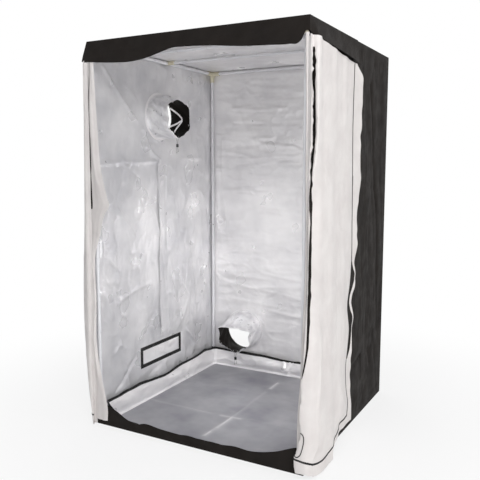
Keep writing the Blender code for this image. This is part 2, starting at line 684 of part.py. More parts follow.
def make_port(name, centre, inward, silver, cord_material, plastic):
    """A gathered sleeve sewn round a duct port, with a drawcord round its mouth and a lock on the cord."""
    centre = Vector(centre)
    inward = Vector(inward)
    up = Vector((0, 0, 1))
    across = inward.cross(up)

    def point(distance, radius, angle):
        share = distance / SLEEVE_LENGTH
        drop = SLEEVE_SAG * ease(share)
        return centre + inward * distance + across * radius * math.cos(angle) + up * (radius * math.sin(angle) - drop)

    turn = 2 * math.pi / SLEEVE_SIDES
    angles = [(step + 0.5) * turn for step in range(SLEEVE_SIDES)]
    root = SEAM_GAP
    flange = PORT_RADIUS + FLANGE_WIDTH
    reach = SLEEVE_LENGTH - CORD_SETBACK
    distances = spread(root, reach, SLEEVE_STEPS) + [SLEEVE_LENGTH]
    rings = [[point(root, flange, angle) for angle in angles]]
    rings.append([point(root + CLOTH, flange, angle) for angle in angles])
    rings.append([point(root + CLOTH, PORT_RADIUS + CLOTH, angle) for angle in angles])
    for distance in distances[1:]:
        share = distance / SLEEVE_LENGTH
        rings.append([point(distance, sleeve_radius(angle, share) + CLOTH, angle) for angle in angles])
    for distance in reversed(distances):
        share = distance / SLEEVE_LENGTH
        rings.append([point(distance, sleeve_radius(angle, share), angle) for angle in angles])
    skin(f"{name}_duct_sleeve", rings, silver, closed=True, smooth=True)

    bottom = -math.pi / 2
    stand_off = CLOTH + CORD_RADIUS + 2 * FIT
    loop = []
    for step in range(SLEEVE_SIDES):
        angle = bottom + (step + 0.5) * turn
        loop.append(point(reach, sleeve_radius(angle, reach / SLEEVE_LENGTH) + stand_off, angle))
    foot = point(reach, sleeve_radius(bottom, reach / SLEEVE_LENGTH) + stand_off, bottom)
    lock_top = foot - up * LOCK_DROP
    side = across * LOCK_CORD_SPREAD / 2
    tail_end = foot - up * CORD_TAIL
    spans = [tail_end, tail_end + up * (CORD_TAIL - LOCK_DROP) / 2, lock_top, lock_top + up * CORD_TAIL_SPREAD]
    right_tail = [place + side for place in spans]
    left_tail = [place - side for place in reversed(spans)]
    route = right_tail + loop + left_tail
    curve = bpy.data.curves.new(f"{name}_drawcord", "CURVE")
    curve.dimensions = "3D"
    curve.bevel_depth = CORD_RADIUS
    curve.bevel_resolution = 2
    curve.use_fill_caps = True
    spline = curve.splines.new("POLY")
    spline.points.add(len(route) - 1)
    for vertex, place in zip(spline.points, route):
        vertex.co = (*place, 1.0)
    curve.materials.append(cord_material)
    bpy.context.collection.objects.link(bpy.data.objects.new(f"{name}_drawcord", curve))

    depth = LOCK_DEPTH / 2
    width = LOCK_WIDTH / 2
    corner = min(depth, width) / 2
    outline = [
        (width, -depth + corner), (width, depth - corner), (width - corner, depth), (-width + corner, depth),
        (-width, depth - corner), (-width, -depth + corner), (-width + corner, -depth), (width - corner, -depth),
    ]

    def lock_place(flat, level):
        return across * flat[0] + inward * flat[1] + up * level

    lock = prism(f"{name}_cord_lock", outline, lock_place, -LOCK_HEIGHT, 0, plastic)
    bore = CORD_RADIUS + FIT
    for hand in (-1, 1):
        start = side * hand - up * (LOCK_HEIGHT + OVERRUN)
        profile = [(0, bore), (LOCK_HEIGHT + 2 * OVERRUN, bore)]
        hole = turned("bore", profile, LOCK_BORE_SIDES, start, up, plastic, closed=False)
        combine(lock, hole, "DIFFERENCE")
    lock.location = lock_top


def make_vent(net_material, silver, webbing):
    """A netted window, and over it inside a cover with a hook-and-loop border that folds up on its top edge."""
    half_length = VENT_LENGTH / 2 - SEAM_GAP
    half_drop = VENT_DROP / 2 - SEAM_GAP
    middle = -WIDTH / 2 + CLOTH / 2
    near, far = middle - NET_THICKNESS / 2, middle + NET_THICKNESS / 2
    ys = spread(VENT_Y - half_length, VENT_Y + half_length, NET_COLUMNS)
    zs = spread(VENT_HEIGHT - half_drop, VENT_HEIGHT + half_drop, NET_ROWS)
    points, faces = [], []
    knots = {}
    for side, x in enumerate((near, far)):
        for row, z in enumerate(zs):
            for column, y in enumerate(ys):
                knots[side, column, row] = len(points)
                points.append((x, y, z))
    for row in range(NET_ROWS):
        for column in range(NET_COLUMNS):
            inner = {}
            for side, x in enumerate((near, far)):
                low_y, high_y = ys[column] + NET_STRAND / 2, ys[column + 1] - NET_STRAND / 2
                low_z, high_z = zs[row] + NET_STRAND / 2, zs[row + 1] - NET_STRAND / 2
                inner[side] = range(len(points), len(points) + 4)
                points += [(x, low_y, low_z), (x, high_y, low_z), (x, high_y, high_z), (x, low_y, high_z)]
                outer = [
                    knots[side, column, row], knots[side, column + 1, row],
                    knots[side, column + 1, row + 1], knots[side, column, row + 1],
                ]
                for edge in range(4):
                    after = (edge + 1) % 4
                    faces.append((outer[edge], outer[after], inner[side][after], inner[side][edge]))
            for edge in range(4):
                after = (edge + 1) % 4
                faces.append((inner[0][edge], inner[0][after], inner[1][after], inner[1][edge]))
    rim = [(column, 0) for column in range(NET_COLUMNS)]
    rim += [(NET_COLUMNS, row) for row in range(NET_ROWS)]
    rim += [(column, NET_ROWS) for column in range(NET_COLUMNS, 0, -1)]
    rim += [(0, row) for row in range(NET_ROWS, 0, -1)]
    for here, there in zip(rim, rim[1:] + rim[:1]):
        faces.append((knots[(0, *here)], knots[(0, *there)], knots[(1, *there)], knots[(1, *here)]))
    add_mesh("vent_net", points, faces, net_material)

    length = VENT_LENGTH / 2 + VENT_MARGIN
    drop = VENT_DROP + 2 * VENT_MARGIN
    back = -(BORDER_THICKNESS + FIT + CLOTH)
    hinge = Vector((-WALL_X + SEAM_GAP - back, VENT_Y, VENT_HEIGHT + VENT_DROP / 2 + VENT_MARGIN))
    cover = box("vent_cover", (back, -length, -drop), (back + CLOTH, length, 0), silver)
    cover.location = hinge
    border = box("vent_cover_border", (-BORDER_THICKNESS, -length, -drop), (0, length, 0), webbing)
    window_low = (-BORDER_THICKNESS - OVERRUN, -length + VENT_MARGIN, -drop + VENT_MARGIN)
    window_high = (OVERRUN, length - VENT_MARGIN, -VENT_MARGIN)
    combine(border, box("window", window_low, window_high, webbing), "DIFFERENCE")
    border.location = hinge


def build():
    clear_scene()
    canvas = finish("black_canvas", (0.018, 0.015, 0.013), 0.75)
    lining = finish("white_lining", (0.78, 0.76, 0.73), 0.55)
    silver = finish("silver_lining", (0.62, 0.62, 0.64), 0.35, 0.4)
    steel = finish("white_steel", (0.80, 0.80, 0.80), 0.35)
    plastic = finish("cream_plastic", (0.72, 0.66, 0.50), 0.45)
    webbing = finish("black_webbing", (0.010, 0.010, 0.010), 0.85)
    teeth = finish("black_zip", (0.012, 0.012, 0.012), 0.50)
    net = finish("grey_net", (0.30, 0.30, 0.31), 0.70)
    cord = finish("grey_cord", (0.45, 0.45, 0.44), 0.80)
    make_posts(steel)
    make_rails(steel)
    make_corners(plastic)
    make_hanging_bars(steel, plastic)
    make_roof_and_ground(canvas)
    make_walls(canvas)
    make_doorway(canvas)
    make_doors(lining, teeth, teeth)
    make_tray(silver, webbing)
    upper = (-WALL_X, UPPER_PORT_Y, UPPER_PORT_HEIGHT)
    make_port("upper", upper, (1, 0, 0), silver, cord, teeth)
    lower = (LOWER_PORT_X, WALL_Y, LOWER_PORT_HEIGHT)
    make_port("lower", lower, (0, -1, 0), silver, cord, teeth)
    make_vent(net, silver, webbing)


build()
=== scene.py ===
import math

import bmesh
import bpy
import numpy as np
from mathutils import Matrix, Vector


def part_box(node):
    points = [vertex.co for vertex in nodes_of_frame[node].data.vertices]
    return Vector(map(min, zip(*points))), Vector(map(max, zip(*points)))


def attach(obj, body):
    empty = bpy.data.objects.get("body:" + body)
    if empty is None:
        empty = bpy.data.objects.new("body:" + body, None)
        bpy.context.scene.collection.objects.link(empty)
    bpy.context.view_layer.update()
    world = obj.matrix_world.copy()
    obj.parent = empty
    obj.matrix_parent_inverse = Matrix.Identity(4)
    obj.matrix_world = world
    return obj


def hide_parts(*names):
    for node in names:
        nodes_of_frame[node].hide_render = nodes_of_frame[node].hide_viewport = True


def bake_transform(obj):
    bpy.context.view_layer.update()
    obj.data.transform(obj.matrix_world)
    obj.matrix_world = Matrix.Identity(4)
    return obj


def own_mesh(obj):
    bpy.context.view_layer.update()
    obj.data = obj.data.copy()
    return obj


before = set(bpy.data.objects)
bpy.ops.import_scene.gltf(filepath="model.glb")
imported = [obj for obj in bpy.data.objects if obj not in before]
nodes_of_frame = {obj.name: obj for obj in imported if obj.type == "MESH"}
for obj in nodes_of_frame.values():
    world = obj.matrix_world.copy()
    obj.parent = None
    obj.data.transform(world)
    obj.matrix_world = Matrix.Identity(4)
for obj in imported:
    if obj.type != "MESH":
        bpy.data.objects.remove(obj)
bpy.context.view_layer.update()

# ---- Camera, floor and light ----
# The camera stands where the photograph was taken from: in front of the tent, to its right, at chest height.
# The floor and the world are white to the camera, and soft lamps light the tent from the front.
CAMERA_PLACE = (1.6174, -3.0475, 1.3928)
CAMERA_TURN = 0.5012
CAMERA_DIP = 0.1226
LENS = 46.5
SENSOR = 36.0
WORLD_LIGHT = 0.36
FLOOR_HALF = 30.0
FLOOR_LEVEL = -0.0004
FLOOR_SHADOW_SHARE = 0.22
SHADOW_REACH = 2.4

scene = bpy.context.scene
scene.view_settings.view_transform = "Standard"
camera = bpy.data.objects.new("camera", bpy.data.cameras.new("camera"))
camera.data.lens = LENS
camera.data.sensor_width = SENSOR
camera.location = CAMERA_PLACE
camera.rotation_euler = (math.pi / 2 - CAMERA_DIP, 0, CAMERA_TURN)
scene.collection.objects.link(camera)
scene.camera = camera


def feed(tree, node, inputs):
    """Sets the inputs of a node to plain values, or joins them to sockets."""
    for key, value in inputs.items():
        if isinstance(value, bpy.types.NodeSocket):
            tree.links.new(value, node.inputs[key])
        else:
            node.inputs[key].default_value = value
    return node


def add(tree, kind, inputs={}, **settings):
    """A new node with its settings and inputs."""
    node = tree.nodes.new(kind)
    for key, value in settings.items():
        setattr(node, key, value)
    return feed(tree, node, inputs)


def maths(tree, operation, first, second):
    return add(tree, "ShaderNodeMath", {0: first, 1: second}, operation=operation).outputs[0]


def ranged(tree, value, low, high, start=0.3, end=0.7, curve="LINEAR"):
    """Stretches the part of a value from start to end to low to high."""
    return add(tree, "ShaderNodeMapRange", {"From Min": start, "From Max": end, "To Min": low, "To Max": high,
                                            "Value": value}, interpolation_type=curve).outputs["Result"]


def coordinates(tree, kind="Object"):
    return add(tree, "ShaderNodeTexCoord").outputs[kind]


def seen_rays(tree):
    """1 for rays from the camera, a mirror or glass, which see the plain white surroundings."""
    rays = add(tree, "ShaderNodeLightPath").outputs
    first = maths(tree, "MAXIMUM", rays["Is Camera Ray"], rays["Is Glossy Ray"])
    return maths(tree, "MAXIMUM", first, rays["Is Transmission Ray"])


def either(tree, factor, first, second, output):
    """Shows the first shader, and the second as the factor rises."""
    choice = add(tree, "ShaderNodeMixShader", {0: factor, 1: first.outputs[0], 2: second.outputs[0]})
    feed(tree, tree.nodes[output], {"Surface": choice.outputs[0]})


def finish(name, colour, roughness, metallic=0.0):
    """A Principled material with plain values, and its node tree to add detail to."""
    material = bpy.data.materials.new(name)
    material.use_nodes = True
    tree = material.node_tree
    shader = feed(tree, tree.nodes["Principled BSDF"],
                  {"Base Color": (*colour, 1), "Roughness": roughness, "Metallic": metallic})
    return material, tree, shader


def link(mesh, name, *materials):
    thing = bpy.data.objects.new(name, mesh)
    for material in materials:
        mesh.materials.append(material)
    scene.collection.objects.link(thing)
    return thing


world = bpy.data.worlds.new("studio")
world.use_nodes = True
scene.world = world
tree = world.node_tree
lighting = feed(tree, tree.nodes["Background"], {"Color": (0.97, 0.98, 1.0, 1), "Strength": WORLD_LIGHT})
plain = add(tree, "ShaderNodeBackground", {"Color": (1, 1, 1, 1), "Strength": 1.0})
either(tree, seen_rays(tree), lighting, plain, "World Output")

# The tent's shadow shows near it, and dies out before the floor's edge so that no horizon is seen.
paint, tree, lit = finish("studio_floor", (0.85, 0.85, 0.85), 0.9)
glow = add(tree, "ShaderNodeEmission", {"Strength": 1.0})
distance = add(tree, "ShaderNodeVectorMath", {0: coordinates(tree)}, operation="LENGTH").outputs["Value"]
white = ranged(tree, distance, 1 - FLOOR_SHADOW_SHARE, 1.0, SHADOW_REACH / 4, SHADOW_REACH, "SMOOTHSTEP")
either(tree, maths(tree, "MULTIPLY", seen_rays(tree), white), lit, glow, "Material Output")
floor_mesh = bpy.data.meshes.new("studio_floor")
floor_corners = [(x * FLOOR_HALF, y * FLOOR_HALF, FLOOR_LEVEL) for x, y in ((-1, -1), (1, -1), (1, 1), (-1, 1))]
floor_mesh.from_pydata(floor_corners, [], [(0, 1, 2, 3)])
link(floor_mesh, "studio_floor", paint)

# Each lamp is a soft square: its place, what it points at, its size, power and colour.
for name, place, aim, size, power, colour in (
        ("key", (3.1, -3.2, 1.0), (0, 0, 0.6), 2.0, 38, (1.0, 0.985, 0.975)),
        ("high_front", (2.2, -3.2, 3.9), (0, 0, 0.5), 1.6, 74, (0.99, 0.99, 1.0)),
        ("inside", (0.48, -0.42, 0.7), (-0.2, 0.6, 0.66), 0.22, 4.3, (1.0, 0.99, 0.99)),
        ("right_fill", (4.8, 0.2, 2.0), (0.6, 0, 0.9), 2.6, 46, (1.0, 0.985, 0.97)),
        ("top", (0, 0.2, 4.6), (0, 0, 0), 2.5, 14, (1, 1, 1)),
        ("rear", (-2.8, 3.8, 2.6), (0, 0, 1.0), 2.5, 45, (1, 1, 1))):
    light = bpy.data.lights.new(name, "AREA")
    light.size, light.energy, light.color = size, power, colour
    holder = bpy.data.objects.new(name, light)
    holder.location = place
    holder.rotation_euler = (Vector(aim) - Vector(place)).to_track_quat("-Z", "Y").to_euler()
    holder.visible_camera = False
    scene.collection.objects.link(holder)


# ---- Steel tubes ----
# Twenty steel tubes, 19 mm across and powder-coated white, plug into each other and into the corner pieces.
# Each post is two lengths: a spring button in the lower one snaps into the upper one.
TUBE_RADIUS = 0.0095
TUBE_SIDES = 32
TUBE_WALL = 0.001
EDGE_ROUND = 0.0006
POST_JOINT = 0.95
SPIGOT_RADIUS = 0.0082
SPIGOT_WALL = 0.001
SWAGE = 0.006
BAR_RADIUS = 0.008
BUTTON_RADIUS = 0.003
BUTTON_HEIGHT = 0.978
# The four upright edges, with the ways from each into the tent.
CORNERS = [(end, side, inward, back) for end, back in (("front", 1), ("rear", -1))
           for side, inward in (("left", 1), ("right", -1))]


def noise(tree, vector, size, detail=3.0, stretch=None):
    """A noise texture whose lumps are about the given size in metres."""
    if stretch:
        vector = add(tree, "ShaderNodeMapping", {"Scale": stretch, "Vector": vector}).outputs["Vector"]
    return add(tree, "ShaderNodeTexNoise", {"Scale": 1 / size, "Detail": detail, "Roughness": 0.55,
                                            "Vector": vector}).outputs["Fac"]


def between(tree, factor, first, second):
    """A colour that runs between two colours, given plain or as a socket."""
    return add(tree, "ShaderNodeMix", {"A": first, "B": second, "Factor": factor}, data_type="RGBA").outputs["Result"]


def raised(tree, shader, height, depth, strength=1.0, below=None):
    """Adds a bump of the given depth in metres, over an earlier bump."""
    bump = add(tree, "ShaderNodeBump", {"Distance": depth, "Strength": strength, "Height": height})
    if below:
        feed(tree, bump, {"Normal": below.outputs["Normal"]})
    feed(tree, shader, {"Normal": bump.outputs["Normal"]})
    return bump


def grained(name, colour, roughness, metallic=0.0, tint=None, shine=None, grain=None):
    """A material with mottled colour (size, detail, two colours), uneven shine (size, detail, lowest, highest) and
    fine grain (size, detail, depth, strength, stretch)."""
    material, tree, shader = finish(name, colour, roughness, metallic)
    place = coordinates(tree)
    if tint:
        size, detail, first, second = tint
        mottle = ranged(tree, noise(tree, place, size, detail), 0, 1)
        feed(tree, shader, {"Base Color": between(tree, mottle, (*first, 1), (*second, 1))})
    if shine:
        size, detail, low, high = shine
        feed(tree, shader, {"Roughness": ranged(tree, noise(tree, place, size, detail), low, high)})
    if grain:
        size, detail, depth, strength, *stretch = grain
        raised(tree, shader, noise(tree, place, size, detail, *stretch), depth, strength)
    return material


def smooth(mesh, angle):
    mesh.shade_smooth()
    mesh.set_sharp_from_angle(angle=math.radians(angle))


def made(form, name, *materials, angle=None):
    """A linked object from a bmesh, shaded smooth up to an edge angle."""
    bmesh.ops.recalc_face_normals(form, faces=form.faces)
    mesh = bpy.data.meshes.new(name)
    form.to_mesh(mesh)
    form.free()
    if angle:
        smooth(mesh, angle)
    return link(mesh, name, *materials)


def skin(form, rings, loop):
    """Faces between rings of corners: a loop of rings joins up, and a row of rings has its ends closed."""
    for lower, upper in zip(rings, rings[1:] + (rings[:1] if loop else [])):
        for step in range(len(lower)):
            after = (step + 1) % len(lower)
            form.faces.new((lower[step], lower[after], upper[after], upper[step]))
    if not loop:
        form.faces.new(list(reversed(rings[0])))
        form.faces.new(rings[-1])


def turned(name, profile, start, end, material, sides=TUBE_SIDES, loop=True):
    """A turned piece on the line from start to end: profile is a list of (distance, radius), closed if loop."""
    turn = (Vector(end) - Vector(start)).to_track_quat("Z", "Y").to_matrix().to_4x4()
    stand = Matrix.Translation(start) @ turn
    form = bmesh.new()
    angles = [2 * math.pi * (step + 0.5) / sides for step in range(sides)]
    rings = [[form.verts.new(stand @ Vector((radius * math.cos(angle), radius * math.sin(angle), distance)))
              for angle in angles] for distance, radius in profile]
    skin(form, rings, loop)
    return made(form, name, material, angle=40)


def fixed(piece, body, node=None):
    """Says what body a piece moves with and what CAD node it stands for."""
    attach(piece, body)
    if node:
        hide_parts(node)
    return piece


def dressed(names, material):
    """Gives the CAD nodes that stay a material."""
    for name in names:
        for entry in nodes_of_frame[name].material_slots:
            entry.material = material


def tube_profile(low, high, radius=TUBE_RADIUS):
    length, inner = high - low, radius - TUBE_WALL
    return [(0, inner), (0, radius - EDGE_ROUND), (EDGE_ROUND, radius), (length - EDGE_ROUND, radius),
            (length, radius - EDGE_ROUND), (length, inner)]


def bar_profile(low, high):
    return tube_profile(low, high, BAR_RADIUS)


def post_profile(low, high):
    """The lower post: it narrows to a spigot at the joint."""
    joint, tip = POST_JOINT - low, high - low
    inner = SPIGOT_RADIUS - SPIGOT_WALL
    return [(0, TUBE_RADIUS - TUBE_WALL), (0, TUBE_RADIUS - EDGE_ROUND), (EDGE_ROUND, TUBE_RADIUS),
            (joint - SWAGE, TUBE_RADIUS), (joint - SWAGE / 2, TUBE_RADIUS - EDGE_ROUND),
            (joint - EDGE_ROUND, TUBE_RADIUS - EDGE_ROUND), (joint, SPIGOT_RADIUS), (tip, SPIGOT_RADIUS),
            (tip, inner), (joint, inner), (joint - SWAGE, TUBE_RADIUS - TUBE_WALL)]


def tube_over(node, axis, body="tent", profile=tube_profile):
    """A round tube in the place of a CAD tube."""
    low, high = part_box(node)
    start, end = (low + high) / 2, (low + high) / 2
    start[axis], end[axis] = low[axis], high[axis]
    tube = turned(node + "_tube", profile(low[axis], high[axis]), start, end, white_steel)
    fixed(tube, body, node)


white_steel = grained("white_steel", (0.8, 0.8, 0.82), 0.32,
                      tint=(0.09, 4, (0.8, 0.8, 0.825), (0.72, 0.72, 0.745)), shine=(0.03, 3, 0.26, 0.42),
                      grain=(0.0018, 2, 0.00012, 0.5))
dark_steel = grained("dark_steel", (0.1, 0.1, 0.11), 0.35, 0.9, shine=(0.002, 3, 0.28, 0.5))
for level in ("bottom", "top"):
    for side, axis in (("front", 0), ("rear", 0), ("left", 1), ("right", 1)):
        tube_over(f"{level}_rail_{side}", axis)
for end, side, inward, back in CORNERS:
    tube_over(f"post_upper_{end}_{side}", 2)
    tube_over(f"post_lower_{end}_{side}", 2, profile=post_profile)
for end in ("front", "rear"):
    tube_over(f"hanging_bar_{end}", 0, f"{end}_hanging_bar", bar_profile)

# Spring buttons show on the inner side of the posts, just above the joint.
button_profile = [(0, BUTTON_RADIUS), (0.0014, BUTTON_RADIUS), (0.0024, 0.0026), (0.0032, 0.0016), (0.0035, 0.0004)]
for end, side, inward, back in CORNERS:
    low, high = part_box(f"post_upper_{end}_{side}")
    toward = Vector((inward, back, 0)).normalized()
    centre = Vector(((low.x + high.x) / 2, (low.y + high.y) / 2, BUTTON_HEIGHT))
    start = centre + toward * (TUBE_RADIUS - TUBE_WALL)
    fixed(turned(f"spring_button_{end}_{side}", button_profile, start, start + toward, dark_steel, 16, False), "tent")


# ---- Corner pieces and bar clips ----
# Three-way corners moulded in cream plastic: three sockets, and a web between each two that keeps them square.
# The clips are the same plastic: a ring snaps over the side rail and a socket holds the end of the hanging bar.
ARM_RADIUS = 0.0135
ARM_LENGTH = 0.055
SOCKET_RADIUS = 0.0098
WEB_REACH = 0.04
WEB_THICKNESS = 0.0044
CORE_HALF = 0.0138
CORE_EASE = 0.0015
MOULD_VOXEL = 0.0012
BEAD_RADIUS = 0.014
BEAD_LENGTH = 0.004


def applied(thing):
    """Applies every modifier of a thing."""
    graph = bpy.context.evaluated_depsgraph_get()
    mesh = bpy.data.meshes.new_from_object(thing.evaluated_get(graph))
    thing.modifiers.clear()
    thing.data = mesh
    return thing


def modified(thing, kind, **settings):
    modifier = thing.modifiers.new(kind, kind)
    for key, value in settings.items():
        setattr(modifier, key, value)
    return applied(thing)


def slab(outline, across, thickness):
    """A flat plate: outline points pushed half its thickness to each side along across."""
    form = bmesh.new()
    skin(form, [[form.verts.new(Vector(point) + way * Vector(across) * thickness / 2) for point in outline]
                for way in (-1, 1)], False)
    return made(form, "slab")


cream_plastic = grained("cream_plastic", (0.7, 0.655, 0.5), 0.42,
                        tint=(0.05, 4, (0.72, 0.68, 0.53), (0.64, 0.59, 0.44)), shine=(0.006, 3, 0.36, 0.55),
                        grain=(0.0009, 2, 0.0001, 0.6))
axes = [Vector((1, 0, 0)), Vector((0, 1, 0)), Vector((0, 0, 1))]
half = CORE_HALF - CORE_EASE
parts = [slab([(-half, -half, 0), (half, -half, 0), (half, half, 0), (-half, half, 0)], (0, 0, 1), 2 * half)]
arm_profile = [(0, ARM_RADIUS), (ARM_LENGTH - BEAD_LENGTH, ARM_RADIUS), (ARM_LENGTH - BEAD_LENGTH, BEAD_RADIUS),
               (ARM_LENGTH, BEAD_RADIUS)]
parts += [turned("arm", arm_profile, (0, 0, 0), axis, cream_plastic, loop=False) for axis in axes]
for first, second in zip(axes, axes[1:] + axes[:1]):
    parts.append(slab([first * 0, first * WEB_REACH, second * WEB_REACH], first.cross(second), WEB_THICKNESS))
# The overlapping forms melt into one moulding with soft inner corners, and the sockets are bored in it.
form = bmesh.new()
for part in parts:
    form.from_mesh(part.data)
    bpy.data.objects.remove(part)
corner = made(form, "moulding", cream_plastic)
modified(corner, "REMESH", mode="VOXEL", voxel_size=MOULD_VOXEL)
modified(corner, "SMOOTH", factor=0.5, iterations=3)
for axis in axes:
    socket = turned("socket", [(0, SOCKET_RADIUS), (ARM_LENGTH, SOCKET_RADIUS)], axis * ARM_RADIUS,
                    axis * (ARM_RADIUS + ARM_LENGTH), cream_plastic, loop=False)
    modified(corner, "BOOLEAN", operation="DIFFERENCE", solver="EXACT", object=socket)
    bpy.data.objects.remove(socket)
for level, upright in (("top", -1), ("bottom", 1)):
    for end, side, inward, back in CORNERS:
        node = f"corner_{level}_{end}_{side}"
        low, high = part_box(node)
        ways = (inward, back, upright)
        spot = Vector([low[k] + CORE_HALF if ways[k] > 0 else high[k] - CORE_HALF for k in range(3)])
        mesh = corner.data.copy()
        mesh.transform(Matrix.Translation(spot) @ Matrix.Diagonal((*ways, 1)))
        if inward * back * upright < 0:
            mesh.flip_normals()
        smooth(mesh, 50)
        fixed(link(mesh, node + "_moulding"), "tent", node)
bpy.data.objects.remove(corner)
# The clips keep their CAD form, which the rail and the bar fit, in the moulded plastic.
dressed([f"bar_clip_{end}_{side}" for end, side, inward, back in CORNERS], cream_plastic)


# ---- Canvas cover: walls, roof and ground sheet ----
# Black woven canvas outside, laminated inside with silver film that creases like stiff paper.
# The panels are sewn together along the tube frame; they hang loose between the tubes and keep their packing folds.
CLOTH = 0.0015
WALL_STEP = 0.008
WEAVE_PITCH = 0.0011
HALF_WIDTH = 0.6
PANEL_EDGE = 0.5982
WALL_MIDDLE = 0.6 - CLOTH / 2
FRAME_MARGIN = 0.035
FOLD_GAIN = 2.1
REAR_GAIN = 1.15
TOP = 2.0
PORT_RADIUS = 0.125
UPPER_PORT = (0.0, 1.668)
LOWER_PORT = (-0.345, 0.268)
VENT_Y = -0.015
VENT_Z = 0.251
VENT_HALF_LENGTH = 0.186
VENT_HALF_DROP = 0.041


def ease(share):
    held = np.clip(share, 0.0, 1.0)
    return held * held * (3 - 2 * held)


def lumps(u, v, size_u, size_v, seed):
    """Smooth random hills of one size over a sheet, from -1 to 1."""
    lattice = np.random.RandomState(seed).uniform(-1, 1, (97, 97))
    a, b = np.asarray(u) / size_u + 11.3, np.asarray(v) / size_v + 7.7
    i, j = np.floor(a).astype(int), np.floor(b).astype(int)
    s, t = a - i, b - j
    s, t = s * s * s * (s * (s * 6 - 15) + 10), t * t * t * (t * (t * 6 - 15) + 10)
    pick = lambda m, n: lattice[m % 97, n % 97]
    low = pick(i, j) * (1 - s) + pick(i + 1, j) * s
    high = pick(i, j + 1) * (1 - s) + pick(i + 1, j + 1) * s
    return low * (1 - t) + high * t


def waver(along, size, seed, across=0):
    """Smooth random values along a line, from -1 to 1."""
    return lumps(along, 0 * along + across, size, 1, seed)


def crumple(u, v, size_u, size_v, seed, sharp=3.0):
    """Sharp ridges between smooth facets, from 0 to 1, as in creased film."""
    bend_u = u + 0.35 * size_u * lumps(u, v, 2.1 * size_u, 1.7 * size_v, seed + 1)
    bend_v = v + 0.35 * size_v * lumps(u, v, 1.6 * size_u, 2.3 * size_v, seed + 2)
    return (1 - np.abs(lumps(bend_u, bend_v, size_u, size_v, seed))) ** sharp


def fold_line(u, v, points, depth, width):
    """A fold along a line of points in millimetres: a crisp ridge that dies out sideways and at its ends."""
    nearest = np.full(np.shape(u), 1e9)
    points = np.array(points) / 1000
    for (u0, v0), (u1, v1) in zip(points, points[1:]):
        run_u, run_v = u1 - u0, v1 - v0
        share = np.clip(((u - u0) * run_u + (v - v0) * run_v) / (run_u ** 2 + run_v ** 2), 0, 1)
        nearest = np.minimum(nearest, np.hypot(u - u0 - share * run_u, v - v0 - share * run_v))
    return depth * np.exp(-nearest / width)


def folded(height, u, v, folds, gain=1.0):
    """Adds folds to a height, each (points, depth, width) in millimetres."""
    for points, depth, width in folds:
        height = height + gain * fold_line(u, v, points, depth / 1000, width / 1000)
    return height


def threads(tree, vector, pitch):
    """The height of a plain weave: warp and weft that rise in turn."""
    return maths(tree, "MULTIPLY", *[add(tree, "ShaderNodeTexWave", {"Scale": math.pi / 10 / pitch, "Vector": vector},
                                         bands_direction=way).outputs["Fac"] for way in "XY"])


def facets(tree, vector, size):
    """The ridges between the flat facets of creased film, strong in some places and gone in others."""
    web = add(tree, "ShaderNodeTexVoronoi", {"Scale": 1 / size, "Vector": vector}, feature="DISTANCE_TO_EDGE")
    ridge = ranged(tree, web.outputs["Distance"], 1, 0, 0.0, 0.2, "SMOOTHSTEP")
    where = ranged(tree, noise(tree, vector, size * 2.2, 2), 0, 1, 0.4, 0.64, "SMOOTHSTEP")
    return maths(tree, "MULTIPLY", ridge, where)


def cloth_finish(name, light, dark, roughness, metallic=0.0, patch=0.12, pitch=WEAVE_PITCH, weave=0.00012,
                 crinkle=0.0, crinkle_size=0.02, spread=0.08, sheen=0.0, specular=0.5):
    """Woven or laminated cloth: mottled colour, uneven shine, threads, and fine crinkles where it has film."""
    material, tree, shader = finish(name, light, roughness, metallic)
    place = coordinates(tree, "UV")
    mottle = ranged(tree, noise(tree, place, patch, 3), 0, 1, 0.33, 0.67)
    shine = ranged(tree, noise(tree, place, patch * 0.6, 2), roughness - spread, roughness + spread)
    feed(tree, shader, {"Base Color": between(tree, mottle, (*light, 1), (*dark, 1)), "Roughness": shine,
                        "Sheen Weight": sheen, "Specular IOR Level": specular})
    bump = raised(tree, shader, threads(tree, place, pitch), weave, 0.6)
    if crinkle:
        bump = raised(tree, shader, noise(tree, place, crinkle_size, 2), crinkle, 0.8, bump)
        bump = raised(tree, shader, noise(tree, place, crinkle_size * 5, 2, (1.0, 0.45, 1.0)), crinkle * 6, 0.8, bump)
        raised(tree, shader, facets(tree, place, crinkle_size * 4), crinkle, 0.8, bump)
    return material


black_canvas = cloth_finish("black_canvas", (0.0125, 0.0096, 0.008), (0.0085, 0.0065, 0.0055), 0.74, specular=0.17,
                            crinkle=0.0012, crinkle_size=0.05)
silver_film = cloth_finish("silver_film", (0.97, 0.958, 0.958), (0.77, 0.76, 0.772), 0.35, 0.35, 0.3, weave=0.00003,
                           crinkle=0.0017, crinkle_size=0.028, spread=0.1)
# The left wall's film is painted darker, for the shade that falls on it, and the sleeves' film is crumpled.
sleeve_film = cloth_finish("sleeve_film", (0.95, 0.945, 0.95), (0.66, 0.655, 0.675), 0.36, 0.4, 0.06, weave=0.00003,
                           crinkle=0.0016, crinkle_size=0.022, spread=0.1)
painted_shade_film = cloth_finish("painted_shade_film", (0.87, 0.865, 0.87), (0.62, 0.62, 0.64), 0.33, 0.42, 0.3, weave=0.00003,
                           crinkle=0.0016, crinkle_size=0.028, spread=0.1)


def grid_normals(grid, loop=False):
    """The outward direction at every point of a grid, to the left of columns turned into rows."""
    wide = np.concatenate([grid[:, -2:-1], grid, grid[:, 1:2]], axis=1) if loop else grid
    across = np.gradient(wide, axis=1)[:, 1:-1] if loop else np.gradient(grid, axis=1)
    normal = np.cross(across, np.gradient(grid, axis=0))
    return normal / np.maximum(np.linalg.norm(normal, axis=2, keepdims=True), 1e-12)


